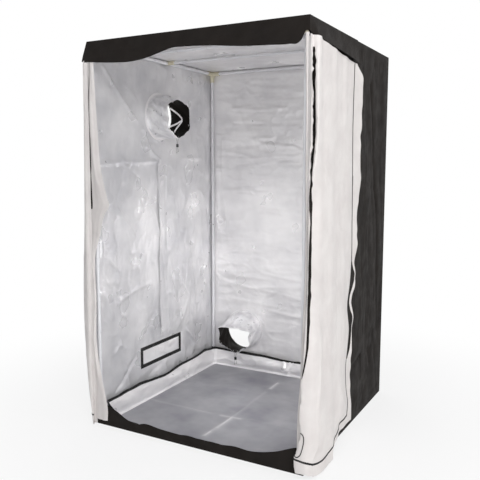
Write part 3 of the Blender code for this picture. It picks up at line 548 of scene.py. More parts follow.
def two_faced(name, grid, outer, inner, thickness=CLOTH, keep=None, loop=False):
    """A closed sheet of cloth over a grid of points (rows, columns, 3). keep marks the cells that stay, and a
    loop's last column is its first. The cut map is in metres."""
    rows, columns = grid.shape[:2]
    away = grid_normals(grid, loop) * thickness / 2
    points = np.concatenate([(grid + away).reshape(-1, 3), (grid - away).reshape(-1, 3)])
    layer = rows * columns
    keep = np.ones((rows - 1, columns - 1), bool) if keep is None else keep
    index = np.arange(layer).reshape(rows, columns)
    a, b = index[:-1, :-1], index[:-1, 1:]
    c, d = index[1:, 1:], index[1:, :-1]
    quads = [np.stack([a, b, c, d], -1)[keep], np.stack([a, d, c, b], -1)[keep] + layer]
    padded = np.pad(keep, 1)
    if loop:
        padded[:, 0], padded[:, -1] = padded[:, -2], padded[:, 1]
    sides = []
    for shift, (p, q) in (((0, 1), (a, b)), ((2, 1), (c, d)), ((1, 0), (d, a)), ((1, 2), (b, c))):
        beside = padded[shift[0]:shift[0] + rows - 1, shift[1]:shift[1] + columns - 1]
        bare = keep & ~beside
        sides.append(np.stack([p[bare], p[bare] + layer, q[bare] + layer, q[bare]], -1))
    corners = np.concatenate(quads + sides)
    slots = np.zeros(len(corners), np.int32)
    slots[len(quads[0]):len(quads[0]) + len(quads[1])] = 1
    weld = index.copy()
    if loop:
        weld[:, -1] = weld[:, 0]
    faces = np.concatenate([weld.ravel(), weld.ravel() + layer])[corners]
    used = np.unique(faces)
    renumber = np.zeros(len(points), np.int64)
    renumber[used] = np.arange(len(used))
    mesh = bpy.data.meshes.new(name)
    mesh.from_pydata(points[used].tolist(), [], renumber[faces].tolist())
    mesh.update()
    u = np.cumsum(np.pad(np.linalg.norm(np.diff(grid, axis=1), axis=2), ((0, 0), (1, 0))), axis=1)
    v = np.cumsum(np.pad(np.linalg.norm(np.diff(grid, axis=0), axis=2), ((1, 0), (0, 0))), axis=0)
    flat = np.concatenate([np.stack([u, v], -1).reshape(-1, 2)] * 2)
    mesh.uv_layers.new(name="cut").data.foreach_set("uv", flat[corners.ravel()].astype(np.float32).ravel())
    mesh.polygons.foreach_set("material_index", slots)
    smooth(mesh, 80)
    return link(mesh, name, outer, inner)


def sewn(name, grid, outer, inner, body, slot, node=None, thickness=CLOTH, keep=None, loop=False, flip=False, **said):
    """A sheet of cloth fixed to a body; what is said of the sheet is not used. flip turns its outer face over."""
    if flip:
        grid, keep = grid[:, ::-1], None if keep is None else keep[:, ::-1]
    piece = fixed(two_faced(name, grid, outer, inner, thickness, keep, loop), body, node)
    return piece


def stops(low, high, step, *places):
    """Grid lines about a step apart that pass through the fixed places too."""
    marks = [low, *sorted(places), high]
    lines = [low]
    for start, stop in zip(marks, marks[1:]):
        count = max(1, round((stop - start) / step))
        lines += [start + (stop - start) * (k + 1) / count for k in range(count)]
    return np.array(lines)


def onto_circle(u, v, centre, radius, step):
    """Draws grid points near a circle onto it, so that a round hole has a smooth edge."""
    du, dv = u - centre[0], v - centre[1]
    distance = np.hypot(du, dv)
    near = np.abs(distance - radius) < 0.55 * step
    pull = np.where(near, radius / np.maximum(distance, 1e-9), 1.0)
    return centre[0] + du * pull, centre[1] + dv * pull


def cells(values):
    return (values[:-1, :-1] + values[1:, :-1] + values[:-1, 1:] + values[1:, 1:]) / 4


def slack(u, v, low_v=0, high_v=TOP):
    """1 in the open cloth, and 0 along the frame tubes that it is drawn over."""
    inset = np.minimum(np.minimum(u + HALF_WIDTH, HALF_WIDTH - u), np.minimum(v - low_v, high_v - v))
    return ease((inset - 0.02) / FRAME_MARGIN)


def round_port(u, v, port):
    """A wall's grid with a port's edge in it, the distance from the port, and the looseness left around it."""
    u, v = onto_circle(u, v, port, PORT_RADIUS, WALL_STEP)
    distance = np.hypot(u - port[0], v - port[1])
    return u, v, distance, slack(u, v) * ease((distance - PORT_RADIUS - 0.008) / 0.03)


# Left wall: the upper duct port and the low vent are cut in it, and a seam runs down its middle.
vent_y = (VENT_Y - VENT_HALF_LENGTH, VENT_Y + VENT_HALF_LENGTH)
vent_z = (VENT_Z - VENT_HALF_DROP, VENT_Z + VENT_HALF_DROP)
y, z = np.meshgrid(stops(-PANEL_EDGE, HALF_WIDTH, WALL_STEP, *vent_y), stops(0.0, TOP, WALL_STEP, *vent_z))
y, z, port_distance, loose = round_port(y, z, UPPER_PORT)
vent_distance = np.maximum(np.abs(y - VENT_Y) - VENT_HALF_LENGTH, np.abs(z - VENT_Z) - VENT_HALF_DROP)
loose = loose * ease((vent_distance - 0.012) / 0.03)
inward = 0.0022 * lumps(y, z, 0.16, 0.42, 3) + 0.0016 * lumps(y, z, 0.07, 0.3, 5)
inward += 0.004 * crumple(y + 0.18 * z, z, 0.11, 0.62, 21, 5) * ease((1.5 - z) / 0.5)
inward += 0.0016 * crumple(y, z, 0.055, 0.1, 31, 4) + 0.0012 * crumple(y - 0.4 * z, z, 0.05, 0.22, 33, 5)
inward = folded(inward, y, z, [
    ([(-502, 1896), (-349, 1741), (-221, 1627)], 6, 11),
    ([(-314, 1826), (-218, 1740)], 4, 10),
    ([(-19, 1975), (1, 1817)], -4, 10),
    ([(-172, 1590), (-152, 1566), (-83, 1460), (-9, 1414)], 7.5, 10),
    ([(-522, 1395), (-260, 1400), (-9, 1408)], 4.5, 9),
    ([(235, 1427), (447, 1429)], 4, 9),
    ([(-394, 1142), (-263, 995)], 6, 11),
    ([(530, 1945), (389, 1816), (180, 1720)], 3.5, 10),
    ([(-72, 519), (-215, 320), (-456, 131)], -5.5, 10),
    ([(277, 546), (168, 328)], 9, 13),
    ([(260, 306), (421, 145)], 6, 9),
    ([(-25, 170), (-190, 111)], -5, 10),
    ([(-317, 1384), (-231, 1334), (-204, 1293)], -5, 10),
    ([(-350, 1423), (-300, 1384)], 5, 10),
    ([(-420, 620), (-300, 660), (-120, 690)], 3.5, 10),
    ([(-470, 860), (-400, 800), (-410, 740)], 4.5, 12),
])
# Above the vent the folds leave room for its cover to fold up.
beside_vent = np.maximum(np.abs(y - VENT_Y) - VENT_HALF_LENGTH - 0.03, 0)
cover_room = (0.22 * np.clip(z - 0.325, 0, 0.12) + 0.5 * beside_vent + 0.3 * np.maximum(z - 0.45, 0)
              + np.maximum(0.295 - z, 0))
x = -WALL_MIDDLE + np.minimum(loose * np.clip(FOLD_GAIN * inward, -0.004, 0.02), cover_room)
left_wall_grid = np.stack([x, y, z], -1)
port_area = math.pi * PORT_RADIUS ** 2
sewn("left_wall_cloth", left_wall_grid, black_canvas, painted_shade_film, "tent", "black_canvas", "left_wall", flip=True,
     keep=~((cells(port_distance) < PORT_RADIUS) | (cells(vent_distance) < 0)), flat=(1.2, 2.0),
     area=1.2 * 2.0 - (port_area + 4 * VENT_HALF_LENGTH * VENT_HALF_DROP), held="stretched",
     rests_on=["top_rail_left_tube"])

# Right wall: plain, with the pressed line of the rear post and a few packing folds showing outside.
y, z = np.meshgrid(stops(-PANEL_EDGE, HALF_WIDTH, WALL_STEP), stops(0.0, TOP, WALL_STEP))
inward = 0.0022 * lumps(y, z, 0.2, 0.45, 41) + 0.0014 * lumps(y, z, 0.08, 0.26, 43)
inward += 0.002 * crumple(y + 0.2 * z, z, 0.14, 0.5, 45, 4) + 0.0012 * crumple(y, z, 0.06, 0.12, 47, 4)
inward = folded(inward, y, z, [
    ([(285, 1813), (349, 1523), (456, 1013), (515, 407)], 5, 12),
    ([(-54, 314), (100, 316), (205, 332)], 6.5, 9),
    ([(205, 332), (216, 200)], 5, 9),
    ([(360, 330), (400, 240)], 6, 22),
    ([(100, 1300), (450, 1240)], 2.5, 10),
])
x = WALL_MIDDLE - slack(y, z) * np.clip(FOLD_GAIN * inward, -0.002, 0.016)
sewn("right_wall_cloth", np.stack([x, y, z], -1), black_canvas, silver_film, "tent", "black_canvas", "right_wall",
     flat=(1.2, 2.0), held="stretched", rests_on=["top_rail_right_tube"])

# Rear wall: the lower duct port is cut in it. Its film is creased mostly from side to side.
x, z = np.meshgrid(stops(-PANEL_EDGE, PANEL_EDGE, WALL_STEP), stops(0.0, TOP, WALL_STEP))
x, z, port_distance, loose = round_port(x, z, LOWER_PORT)
inward = 0.0024 * lumps(x, z, 0.26, 0.2, 61) + 0.0016 * lumps(x, z, 0.3, 0.07, 63)
inward += 0.0034 * crumple(x, z + 0.1 * x, 0.5, 0.11, 65, 5) * ease((z - 0.25) / 0.5)
inward += 0.002 * crumple(x, z, 0.16, 0.04, 67, 4) + 0.0012 * crumple(x, z, 0.07, 0.2, 69, 5)
inward += 0.0012 * lumps(x, z, 0.13, 0.03, 64)
inward = folded(inward, x, z, [
    ([(-426, 1752), (-385, 1750), (-255, 1738), (-42, 1744)], 7.5, 10),
    ([(-292, 1924), (-99, 1918)], 4, 9),
    ([(-426, 1657), (-226, 1648)], -5.5, 11),
    ([(-225, 1561), (-141, 1559)], 3.5, 8),
    ([(-225, 1509), (-113, 1508)], 4, 9),
    ([(-6, 1523), (64, 1490), (200, 1470)], -6, 11),
    ([(-259, 1075), (-73, 1082)], 3.5, 9),
    ([(8, 1033), (88, 1037)], 4.5, 9),
    ([(-511, 1553), (-522, 1282), (-493, 1066), (-473, 882)], 5.5, 14),
    ([(-550, 600), (-300, 560), (100, 600)], 3, 10),
    ([(-160, 420), (50, 400), (300, 420)], 4, 11),
], 0.9)
y = WALL_MIDDLE - loose * np.clip(REAR_GAIN * inward, -0.004, 0.02)
sewn("rear_wall_cloth", np.stack([x, y, z], -1), black_canvas, silver_film, "tent", "black_canvas", "rear_wall",
     keep=cells(port_distance) >= PORT_RADIUS, flip=True, flat=(1.2, 2.0), area=1.2 * 2.0 - port_area,
     held="stretched", rests_on=["top_rail_rear_tube"])

# Roof: drawn flat over the top rails, it sags a little between them.
x, y = np.meshgrid(stops(-PANEL_EDGE, PANEL_EDGE, 0.01), stops(-PANEL_EDGE, PANEL_EDGE, 0.01))
dip = 0.003 + 0.0024 * lumps(x, y, 0.3, 0.22, 71) + 0.0022 * crumple(x, y, 0.4, 0.12, 73, 4)
dip += (fold_line(x, y, [(-550, 400), (550, 420)], 0.0045, 0.012)
        + fold_line(x, y, [(-500, -50), (500, 0)], 0.004, 0.012))
# It stays above the hanging bars and their clips wherever they are slid.
room = 0.0012 + 0.0044 * ease((0.53 - np.abs(x)) / 0.06)
z = TOP - CLOTH / 2 - np.minimum(slack(x, y, -HALF_WIDTH, HALF_WIDTH) * np.clip(dip, 0.0, 0.0095), room)
sewn("roof_cloth", np.stack([x, y, z], -1), black_canvas, silver_film, "tent", "black_canvas", "roof_panel",
     flat=(1.2, 1.2), held="stretched", rests_on=["top_rail_front_tube", "top_rail_rear_tube"])

# Ground sheet: plain canvas under the frame.
x, y = np.meshgrid(stops(-PANEL_EDGE, PANEL_EDGE, 0.02), stops(-PANEL_EDGE, PANEL_EDGE, 0.02))
sewn("ground_cloth", np.stack([x, y, CLOTH / 2 + 0 * x], -1), black_canvas, black_canvas, "tent", "black_canvas",
     "ground_sheet", flat=(1.2, 1.2), held="laid", rests_on=["floor_tray"])


# ---- Front: header, sill and jambs ----
# The fixed rim of the doorway. The header is a hemmed black band that sags and flares at its left end; the sill is
# a low black strip; the jambs show the white side of the cloth, drawn in folds round the front posts.
FRONT_STEP = 0.006
HEADER_SIDE_END = 0.02
SILL_ROOM = 0.0042
JAMB_CUT = {"left": 0.118, "right": 0.045}
JAMB_DEPTH = {"left": 0.0075, "right": 0.004}


def spline(knots, values, at):
    """A smooth curve through values at knots, which holds its end values beyond them."""
    knots, values = np.asarray(knots, float), np.asarray(values, float)
    at = np.clip(np.asarray(at, float), knots[0], knots[-1])
    slope = np.gradient(values, knots, axis=0)
    index = np.clip(np.searchsorted(knots, at, side="right") - 1, 0, len(knots) - 2)
    span = knots[index + 1] - knots[index]
    s = (at - knots[index]) / span
    wide = s.shape + (1,) * (values.ndim - 1)
    s, span = s.reshape(wide), span.reshape(wide)
    first, last = values[index], values[index + 1]
    return ((2 * s ** 3 - 3 * s ** 2 + 1) * first + (s ** 3 - 2 * s ** 2 + s) * span * slope[index]
            + (3 * s ** 2 - 2 * s ** 3) * last + (s ** 3 - s ** 2) * span * slope[index + 1])


def sheet_area(grid):
    across = grid[1:, 1:] - grid[:-1, :-1]
    other = grid[1:, :-1] - grid[:-1, 1:]
    return float(np.linalg.norm(np.cross(across, other), axis=2).sum() / 2)


def through(points, place_unit=1000, value_unit=1000):
    """Splits a list of (place, value) pairs, in millimetres, for spline. A unit of 1 marks plain numbers."""
    places, values = zip(*points)
    return np.array(places) / place_unit, np.array(values) / value_unit


def in_rows(values, rows):
    """The same values in every row, and the height of each row from 0 to 1."""
    return values[None, :] * np.ones((rows, 1)), np.linspace(0, 1, rows)[:, None]


def walked(points):
    """The distance walked along points, from the first to each."""
    return np.concatenate([[0], np.cumsum(np.linalg.norm(np.diff(points, axis=0), axis=1))])


def smoothed(points, count):
    """A smooth line through points, in count even steps of their reach, and the reach."""
    reach = walked(points)
    return spline(reach, points, np.linspace(0, reach[-1], count)), reach[-1]


door_lining = cloth_finish("door_lining", (0.77, 0.738, 0.72), (0.68, 0.642, 0.628), 0.5, patch=0.16,
                           weave=0.00008, crinkle=0.0016, crinkle_size=0.03, sheen=0.1)

# The band goes round the right corner and along the side above the open door half, and laps over its top edge.
header_edge = through([(-628, 1902), (-519, 1892), (-424, 1885), (-331, 1882), (-258, 1888), (-182, 1903),
                       (-124, 1917), (-78, 1926), (-12, 1925), (122, 1918), (276, 1902), (421, 1894), (514, 1890),
                       (556, 1893), (573, 1910), (583, 1932), (606, 1936)])
run = stops(-0.628, 0.606, FRONT_STEP)
side_run = stops(-0.6, HEADER_SIDE_END, FRONT_STEP)[1:]
front_x, share = in_rows(run, 26)
low_z = spline(*header_edge, run)[None, :]
front_z = low_z + (TOP - low_z) * share
flare = ease((-front_x - 0.5) / 0.128) * (1 - share) ** 0.8
front_x = np.where(front_x < -0.55, -0.55 + (front_x + 0.55) * (0.05 + 0.028 * (1 - share)) / 0.078, front_x)
front_y = -0.6022 - 0.0095 * flare - 0.0012 * lumps(front_x, front_z, 0.16, 0.05, 81) * (1 - share)
front_y -= 0.0016 * crumple(front_x, front_z, 0.25, 0.05, 83, 4) * np.sin(math.pi * share)
side_y = in_rows(side_run, 26)[0]
side_low = np.interp(side_run, [-0.6, -0.575, -0.3, HEADER_SIDE_END], [1.938, 1.918, 1.903, 1.884])[None, :]
side_z = side_low + (TOP - side_low) * share
bow = 0.0245 * (1 - share) ** 1.3 * ease((side_y + 0.6) / 0.05) * (1 - 0.42 * ease((side_y + 0.1) / 0.12))
side_x = 0.6045 + bow + 0.0012 * lumps(side_y, side_z, 0.11, 0.05, 85) * (1 - share)
grid = np.concatenate([np.stack([front_x, front_y, front_z], -1), np.stack([side_x, side_y, side_z], -1)], axis=1)
sewn("header_cloth", grid, black_canvas, black_canvas, "tent", "black_canvas", "header_band", flat=(1.87, 0.12),
     area=sheet_area(grid), held="hung", rests_on=["top_rail_front_tube"])

# The sill slumps between the jambs and stays behind the closed doors.
sill_edge = through([(-600, 132), (-560, 124), (-521, 113), (-451, 87), (-399, 62), (-333, 48), (-287, 61),
                     (-186, 55), (-46, 51), (57, 54), (173, 53), (251, 61), (326, 57), (455, 83), (569, 128),
                     (600, 136)])
run = stops(-0.6, 0.6, FRONT_STEP)
x, share = in_rows(run, 16)
z = 0.0008 + (spline(*sill_edge, run)[None, :] - 0.0008) * share
lean = 0.0105 * np.sin(math.pi * share * 0.55) * (1 - np.abs(x) / 0.62) + 0.0012
lean = lean + 0.0016 * (1 + lumps(x, z, 0.12, 0.03, 91)) * share + 0.003 * crumple(x, z, 0.16, 0.035, 93, 4) * share
sewn("sill_cloth", np.stack([x, -0.6008 - SILL_ROOM * np.tanh(lean / SILL_ROOM), z], -1), black_canvas, black_canvas,
     "tent", "black_canvas", "front_sill", flat=(1.2, 0.14), area=0.092, held="stretched", rests_on=["ground_cloth"])

# Each jamb runs from inside the post round its front. The left one hangs open in a wide fold; the right one shows
# the post beside it.
jamb_edge = {
    "left": through([(4, -526), (117, -524), (169, -541), (301, -571), (400, -588), (680, -586), (947, -577),
                     (1027, -548), (1132, -516), (1179, -484), (1225, -497), (1360, -531), (1562, -546),
                     (1858, -561), (1960, -566)]),
    "right": through([(4, 574), (120, 571), (200, 568), (285, 570), (370, 576), (450, 581.5), (550, 583),
                      (700, 588.5), (855, 596), (1010, 599), (1170, 599.8), (1250, 596), (1615, 592.5), (1944, 586),
                      (1960, 586)]),
}
zs = stops(0.03, 1.93, 0.01)
for side, sign, seed in (("left", -1, 101), ("right", 1, 111)):
    inner = np.abs(spline(*jamb_edge[side], zs))[:, None]
    share = np.linspace(0, 1, 15)[None, :]
    z = zs[:, None] * np.ones((1, 15))
    low_down = ease((0.2 - z) / 0.1)
    depth = JAMB_DEPTH[side] * np.sin(math.pi * share) ** 1.2
    y = -0.6022 - depth * (1 + 0.7 * lumps(share * 3, z, 0.8, 0.3, seed)) + 0.002 * (1 - share) * (1 - low_down)
    y -= 0.0045 * np.sin(math.pi * share) * crumple(share * 0.1, z, 0.022, 0.5, seed + 3, 4)
    y -= 0.0065 * low_down
    grid = np.stack([sign * (inner + (0.6035 - inner) * share), y, z], -1)
    if sign < 0:
        left_jamb_grid = grid = grid[:, ::-1]
    jamb = sewn(f"{side}_jamb_cloth", grid, door_lining, door_lining, "tent", "door_cloth", f"{side}_jamb",
                flat=(JAMB_CUT[side], 1.95), area=sheet_area(grid), held="hung",
                rests_on=[f"post_upper_front_{side}_tube"])
    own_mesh(jamb)


# ---- Door halves ----
# Each half is one sheet of the cover's cloth on a seam at the front corner, unzipped and folded back with its white
# side out. It hangs from its top seam, bulges away from the wall, and falls in a lobe round the corner at its foot.
WIDEST = 0.664
DOOR_ROWS = 236


def along(points, count):
    """Even steps on a smooth plan line through points."""
    fine = smoothed(points, 8 * count)[0]
    length = walked(fine)
    even = np.linspace(0, length[-1], count)
    return np.stack([np.interp(even, length, fine[:, k]) for k in range(2)], -1)


def door_plan(sign, levels, count):
    """x and y of a door half at every height, from plan lines (height, points from the seam to the zip) in mm."""
    heights, plans = through([(height, [(sign * 612, -612), *points]) for height, points in levels])
    plan = np.stack([along(row, count) for row in spline(heights, plans, np.linspace(0.02, 1.9, DOOR_ROWS))])
    return plan[..., 0].copy(), plan[..., 1].copy(), np.linspace(0, 1, count)[None, :]


def hung(x, y, z, share_u, sign, seed, low_depth, creased=1.0):
    """Adds the folds that hang in a half between its seam and its zip."""
    hang = sign * ease(share_u / 0.12) * ease((1 - share_u) / 0.1)
    x = x + hang * (0.003 * lumps(y, z, 0.055, 0.55, seed) + 0.0022 * lumps(y, z, 0.12, 0.9, seed + 2))
    x = x + hang * ease((0.9 - z) / 0.7) * low_depth * lumps(y, z, 0.075, 0.35, seed + 4)
    return x + hang * 0.0028 * (crumple(y + 0.25 * z, z, 0.1, 0.22, seed + 6, 5) - 0.15) * creased


def pressed(piece):
    """Gives a piece of a door half its own mesh."""
    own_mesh(piece)


right_levels = [
    (20, [(604, -622), (592, -630), (579, -644), (618, -640), (658, -550), (660, -400), (634, -270), (622, -160),
        (616, -70)]),
    (90, [(602, -622), (586, -632), (573, -644), (616, -642), (658, -545), (659, -380), (636, -250), (622, -150),
        (615, -60)]),
    (140, [(606, -620), (596, -627), (588, -637), (620, -632), (659, -530), (658, -380), (648, -210), (629, -120),
        (615, -55)]),
    (300, [(607, -619), (599, -625), (593, -634), (626, -622), (656, -520), (652, -370), (640, -220), (626, -150),
        (615, -95)]),
    (500, [(609, -618), (605, -622), (602, -630), (632, -612), (650, -490), (644, -340), (634, -200), (622, -120),
        (613.5, -60)]),
    (800, [(612.5, -618.5), (606, -596), (614, -622), (638, -590), (645, -460), (637, -320), (628, -190),
        (619, -110), (613.5, -50)]),
    (1010, [(614, -618.5), (606, -584), (615.5, -618), (640, -580), (641, -430), (633, -300), (625, -180),
        (618, -100), (613.5, -46)]),
    (1200, [(613.5, -619), (607, -582), (615, -615), (641, -565), (636, -420), (629, -290), (622, -180), (617, -100),
        (613.5, -44.5)]),
    (1350, [(618, -619), (608, -576), (629, -610), (642, -545), (635, -410), (628, -290), (621, -180), (617, -100),
        (613.5, -50)]),
    (1500, [(623, -620), (609, -568), (642, -602), (641, -525), (632, -400), (626, -280), (620, -180), (617, -100),
        (613.5, -55)]),
    (1670, [(622, -619), (609, -572), (638, -598), (638, -515), (630, -390), (624, -280), (619, -180), (616, -100),
        (613.5, -55)]),
    (1900, [(618, -616), (616, -594), (630, -590), (629, -500), (624, -380), (620, -270), (617, -170), (615, -100),
        (613.5, -50)]),
]
zip_wave = through([(4, -74), (30, -74), (90, -62), (150, -52), (230, -80), (300, -94), (360, -96), (450, -70),
                    (540, -50), (690, -82), (780, -52), (880, -36), (1110, -40), (1320, -46.5), (1560, -58),
                    (1730, -55), (1860, -50), (1900, -50)])
flap_wave = through([(4, -5), (60, 0), (150, -20), (340, -30), (475, -28), (530, -18), (590, 0), (640, -20),
                     (690, -30), (750, 5), (820, 26), (890, 0), (985, 38), (1080, 26), (1180, 39), (1260, 52),
                     (1335, 68), (1380, 48), (1440, 36), (1540, 48), (1640, 55), (1730, 65), (1800, 74), (1840, 40),
                     (1876, -20), (1900, -40)])
share_v = np.linspace(0, 1, DOOR_ROWS)[:, None]
x, y, share_u = door_plan(1, right_levels, 96)
foot_z = 0.004 + 0.026 * (1 - ease((share_u - 0.1) / 0.16)) + 0.04 * ease((share_u - 0.5) / 0.2)
z = foot_z + (1.921 - 0.04 * share_u - foot_z) * share_v
y = y + (spline(*zip_wave, z[:, -1]) - y[:, -1])[:, None] * ease((share_u - 0.8) / 0.2) ** 1.5
x = hung(x, y, z, share_u, 1, 121, 0.005, 0.35 + 0.65 * ease((1.1 - z) / 0.8))
# The cloth is gathered beside the seam higher up, and has a crisp fold low down.
gather = np.exp(-((share_u - 0.07) / 0.05) ** 2) * ease((z - 1.05) / 0.12) * ease((1.9 - z) / 0.1)
x += gather * (0.0075 * lumps(y, z, 0.014, 0.03, 131) + 0.0045 * lumps(y, z, 0.009, 0.014, 133))
y += gather * 0.006 * lumps(y, z, 0.016, 0.04, 137)
crisp = np.exp(-((share_u - 0.2 - 0.02 * lumps(z, z, 0.3, 0.3, 139)) / 0.012) ** 2) * ease((0.75 - z) / 0.4)
x = np.clip(x + 0.009 * crisp, np.where(y > -0.6, 0.6062, -1), WIDEST)
# The storm flap beyond the zip.
flap_share = np.linspace(0, 1, 13)[None, 1:]
flap_z = z[:, -1:] * np.ones((1, 12))
edge_y = spline(*flap_wave, z[:, -1])[:, None]
flap_y = y[:, -1:] + (edge_y - y[:, -1:]) * flap_share
flap_x = x[:, -1:] + (0.0025 + 0.0045 * flap_share) * flap_share
flap_x = flap_x + 0.0016 * lumps(flap_y, flap_z, 0.03, 0.05, 135) * flap_share
flap_x += 0.006 * flap_share * lumps(flap_z, flap_z, 0.085, 0.085, 136)
flap_x = np.maximum(flap_x, 0.6085)
right_door_grid = np.concatenate([np.stack([x, y, z], -1), np.stack([flap_x, flap_y, flap_z], -1)], axis=1)
pressed(sewn("right_door_sheet", right_door_grid, door_lining, black_canvas, "right_door", "door_cloth",
             "right_door_panel", flat=(0.8, 1.92), area=sheet_area(right_door_grid), held="hung",
             rests_on=["right_door_hinge"]))

# The left half is folded back in the same way. The camera sees only its edge beside the left jamb.
left_levels = [
    (20, [(-603, -626), (-598, -632), (-606, -628), (-630, -600), (-645, -500), (-650, -360), (-640, -220),
        (-628, -100), (-616, 30)]),
    (230, [(-612, -630), (-622, -634), (-634, -622), (-640, -590), (-648, -480), (-646, -340), (-636, -200),
        (-625, -80), (-614, 40)]),
    (550, [(-624, -626), (-642, -620), (-664, -612), (-660, -560), (-650, -440), (-640, -300), (-630, -170),
        (-620, -60), (-613.5, 43.5)]),
    (1200, [(-624, -620), (-636, -614), (-647, -602), (-640, -530), (-634, -410), (-628, -280), (-622, -160),
        (-617, -50), (-613.5, 43.5)]),
    (1610, [(-620, -617), (-626, -610), (-631, -600), (-630, -520), (-626, -400), (-622, -270), (-619, -160),
        (-615, -50), (-613.5, 43.5)]),
    (1900, [(-617, -614), (-619, -608), (-621, -600), (-621, -510), (-619, -390), (-617, -270), (-616, -160),
        (-614, -50), (-613.5, 43.5)]),
]
x, y, share_u = door_plan(-1, left_levels, 84)
foot_z = 0.004 + 0.018 * ease((share_u - 0.86) / 0.14)
z = foot_z + (1.906 - 0.022 * share_u - foot_z) * share_v
x = np.clip(hung(x, y, z, share_u, -1, 141, 0.004), -WIDEST, np.where(y > -0.6, -0.6062, 1))
left_door_grid = np.stack([x, y, z], -1)
pressed(sewn("left_door_sheet", left_door_grid, door_lining, black_canvas, "left_door", "door_cloth",
             "left_door_panel", flip=True, flat=(0.78, 1.9), area=sheet_area(left_door_grid), held="hung",
             rests_on=["left_door_hinge"]))

# The seam that each half turns on: a strip of the same cloth that runs round the corner to the door's edge.
for side, sign, door in (("right", 1, right_door_grid), ("left", -1, left_door_grid)):
    zs, edge = door[::3, 0, 2], door[::3, :3]
    tall = (len(zs), 1)
    plan = np.stack([np.tile([sign * 0.5995, -0.6045], tall), np.tile([sign * 0.606, -0.6085], tall),
                     edge[:, 0, :2], edge[:, 1, :2] + [sign * 0.0018, -0.0002]], 1)
    grid = np.concatenate([np.stack([along(row, 9) for row in plan]), np.tile(zs[:, None, None], (1, 9, 1))], axis=2)
    if sign < 0:
        grid = grid[:, ::-1]
    strip = two_faced(f"{side}_door_hinge", grid, door_lining, door_lining, thickness=0.001)
    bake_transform(strip)
    sheet_area(grid)


# ---- Zips ----
# A black coil zip closes the two halves on each other and along the foot: a woven tape with a row of coil teeth.
# The storm flap past it on the right half covers it when the door is shut.
TAPE_WIDTH = 0.0085
TAPE_THICKNESS = 0.0008
COIL_PITCH = 0.0024
COIL_BEAD = (0.0017, 0.0042, 0.0018)
FACING_LIFT = CLOTH / 2 + TAPE_THICKNESS / 2 + 0.0008
black_tape = cloth_finish("black_tape", (0.01, 0.0095, 0.0095), (0.006, 0.006, 0.006), 0.66, specular=0.3,
                          pitch=0.0007, weave=0.0001)
black_coil = grained("black_coil", (0.012, 0.012, 0.013), 0.38, shine=(0.004, 3, 0.3, 0.5))


def beads_tree():
    """Sets small oval beads in a row along a line of points: the teeth of a zip, or the stitches of a seam."""
    tree = bpy.data.node_groups.new("beads_in_a_row", "GeometryNodeTree")
    for name, kind in (("Line", "Geometry"), ("Pitch", "Float"), ("Length", "Float"), ("Width", "Float"),
                       ("Height", "Float"), ("Finish", "Material")):
        tree.interface.new_socket(name, in_out="INPUT", socket_type="NodeSocket" + kind)
    tree.interface.new_socket("Beads", in_out="OUTPUT", socket_type="NodeSocketGeometry")
    given = add(tree, "NodeGroupInput").outputs
    line = add(tree, "GeometryNodeMeshToCurve", {"Mesh": given["Line"]}).outputs["Curve"]
    spaced = add(tree, "GeometryNodeResampleCurve", {"Curve": line, "Length": given["Pitch"]}, mode="LENGTH")
    tangent = add(tree, "GeometryNodeInputTangent").outputs["Tangent"]
    ahead = add(tree, "FunctionNodeAlignRotationToVector", {"Vector": tangent}, axis="X")
    facing = add(tree, "GeometryNodeInputNamedAttribute", {"Name": "facing"}, data_type="FLOAT_VECTOR")
    ways = {"Rotation": ahead.outputs["Rotation"], "Vector": facing.outputs["Attribute"]}
    upright = add(tree, "FunctionNodeAlignRotationToVector", ways, axis="Z", pivot_axis="X")
    bead = add(tree, "GeometryNodeMeshUVSphere", {"Segments": 6, "Rings": 4, "Radius": 0.5})
    size = add(tree, "ShaderNodeCombineXYZ", {"X": given["Length"], "Y": given["Width"], "Z": given["Height"]})
    shape = add(tree, "GeometryNodeInstanceOnPoints",
                {"Points": spaced.outputs["Curve"], "Instance": bead.outputs["Mesh"],
                 "Rotation": upright.outputs["Rotation"], "Scale": size.outputs["Vector"]}).outputs["Instances"]
    for kind, more in ("RealizeInstances", {}), ("SetShadeSmooth", {}), ("SetMaterial", {"Material": given["Finish"]}):
        shape = add(tree, "GeometryNode" + kind, {"Geometry": shape, **more}).outputs["Geometry"]
    add(tree, "NodeGroupOutput", {"Beads": shape})
    return tree


beads_in_a_row = beads_tree()


def beads(name, lines, pitch, size, material):
    """One mesh of beads of a size along lines, each given as (points, facing directions)."""
    edges, start = [], 0
    for points, facing in lines:
        edges += [(start + k, start + k + 1) for k in range(len(points) - 1)]
        start += len(points)
    points, facing = (np.concatenate(part) for part in zip(*lines))
    mesh = bpy.data.meshes.new(name)
    mesh.from_pydata(points.tolist(), edges, [])
    ways = mesh.attributes.new("facing", "FLOAT_VECTOR", "POINT")
    ways.data.foreach_set("vector", facing.astype(np.float32).ravel())
    thing = link(mesh, name)
    modifier = thing.modifiers.new("beads", "NODES")
    modifier.node_group = beads_in_a_row
    inputs = {item.name: item.identifier for item in beads_in_a_row.interface.items_tree if item.in_out == "INPUT"}
    for key, value in zip(("Pitch", "Length", "Width", "Height", "Finish"), (pitch, *size, material)):
        modifier[inputs[key]] = value
    return applied(thing)


def on_grid(values, u, v):
    """Values of a grid at fractional columns u and rows v."""
    u, v = np.clip(u, 0, values.shape[1] - 1.0001), np.clip(v, 0, values.shape[0] - 1.0001)
    i, j = u.astype(int), v.astype(int)
    s, t = (u - i)[:, None], (v - j)[:, None]
    return ((values[j, i] * (1 - s) + values[j, i + 1] * s) * (1 - t)
            + (values[j + 1, i] * (1 - s) + values[j + 1, i + 1] * s) * t)


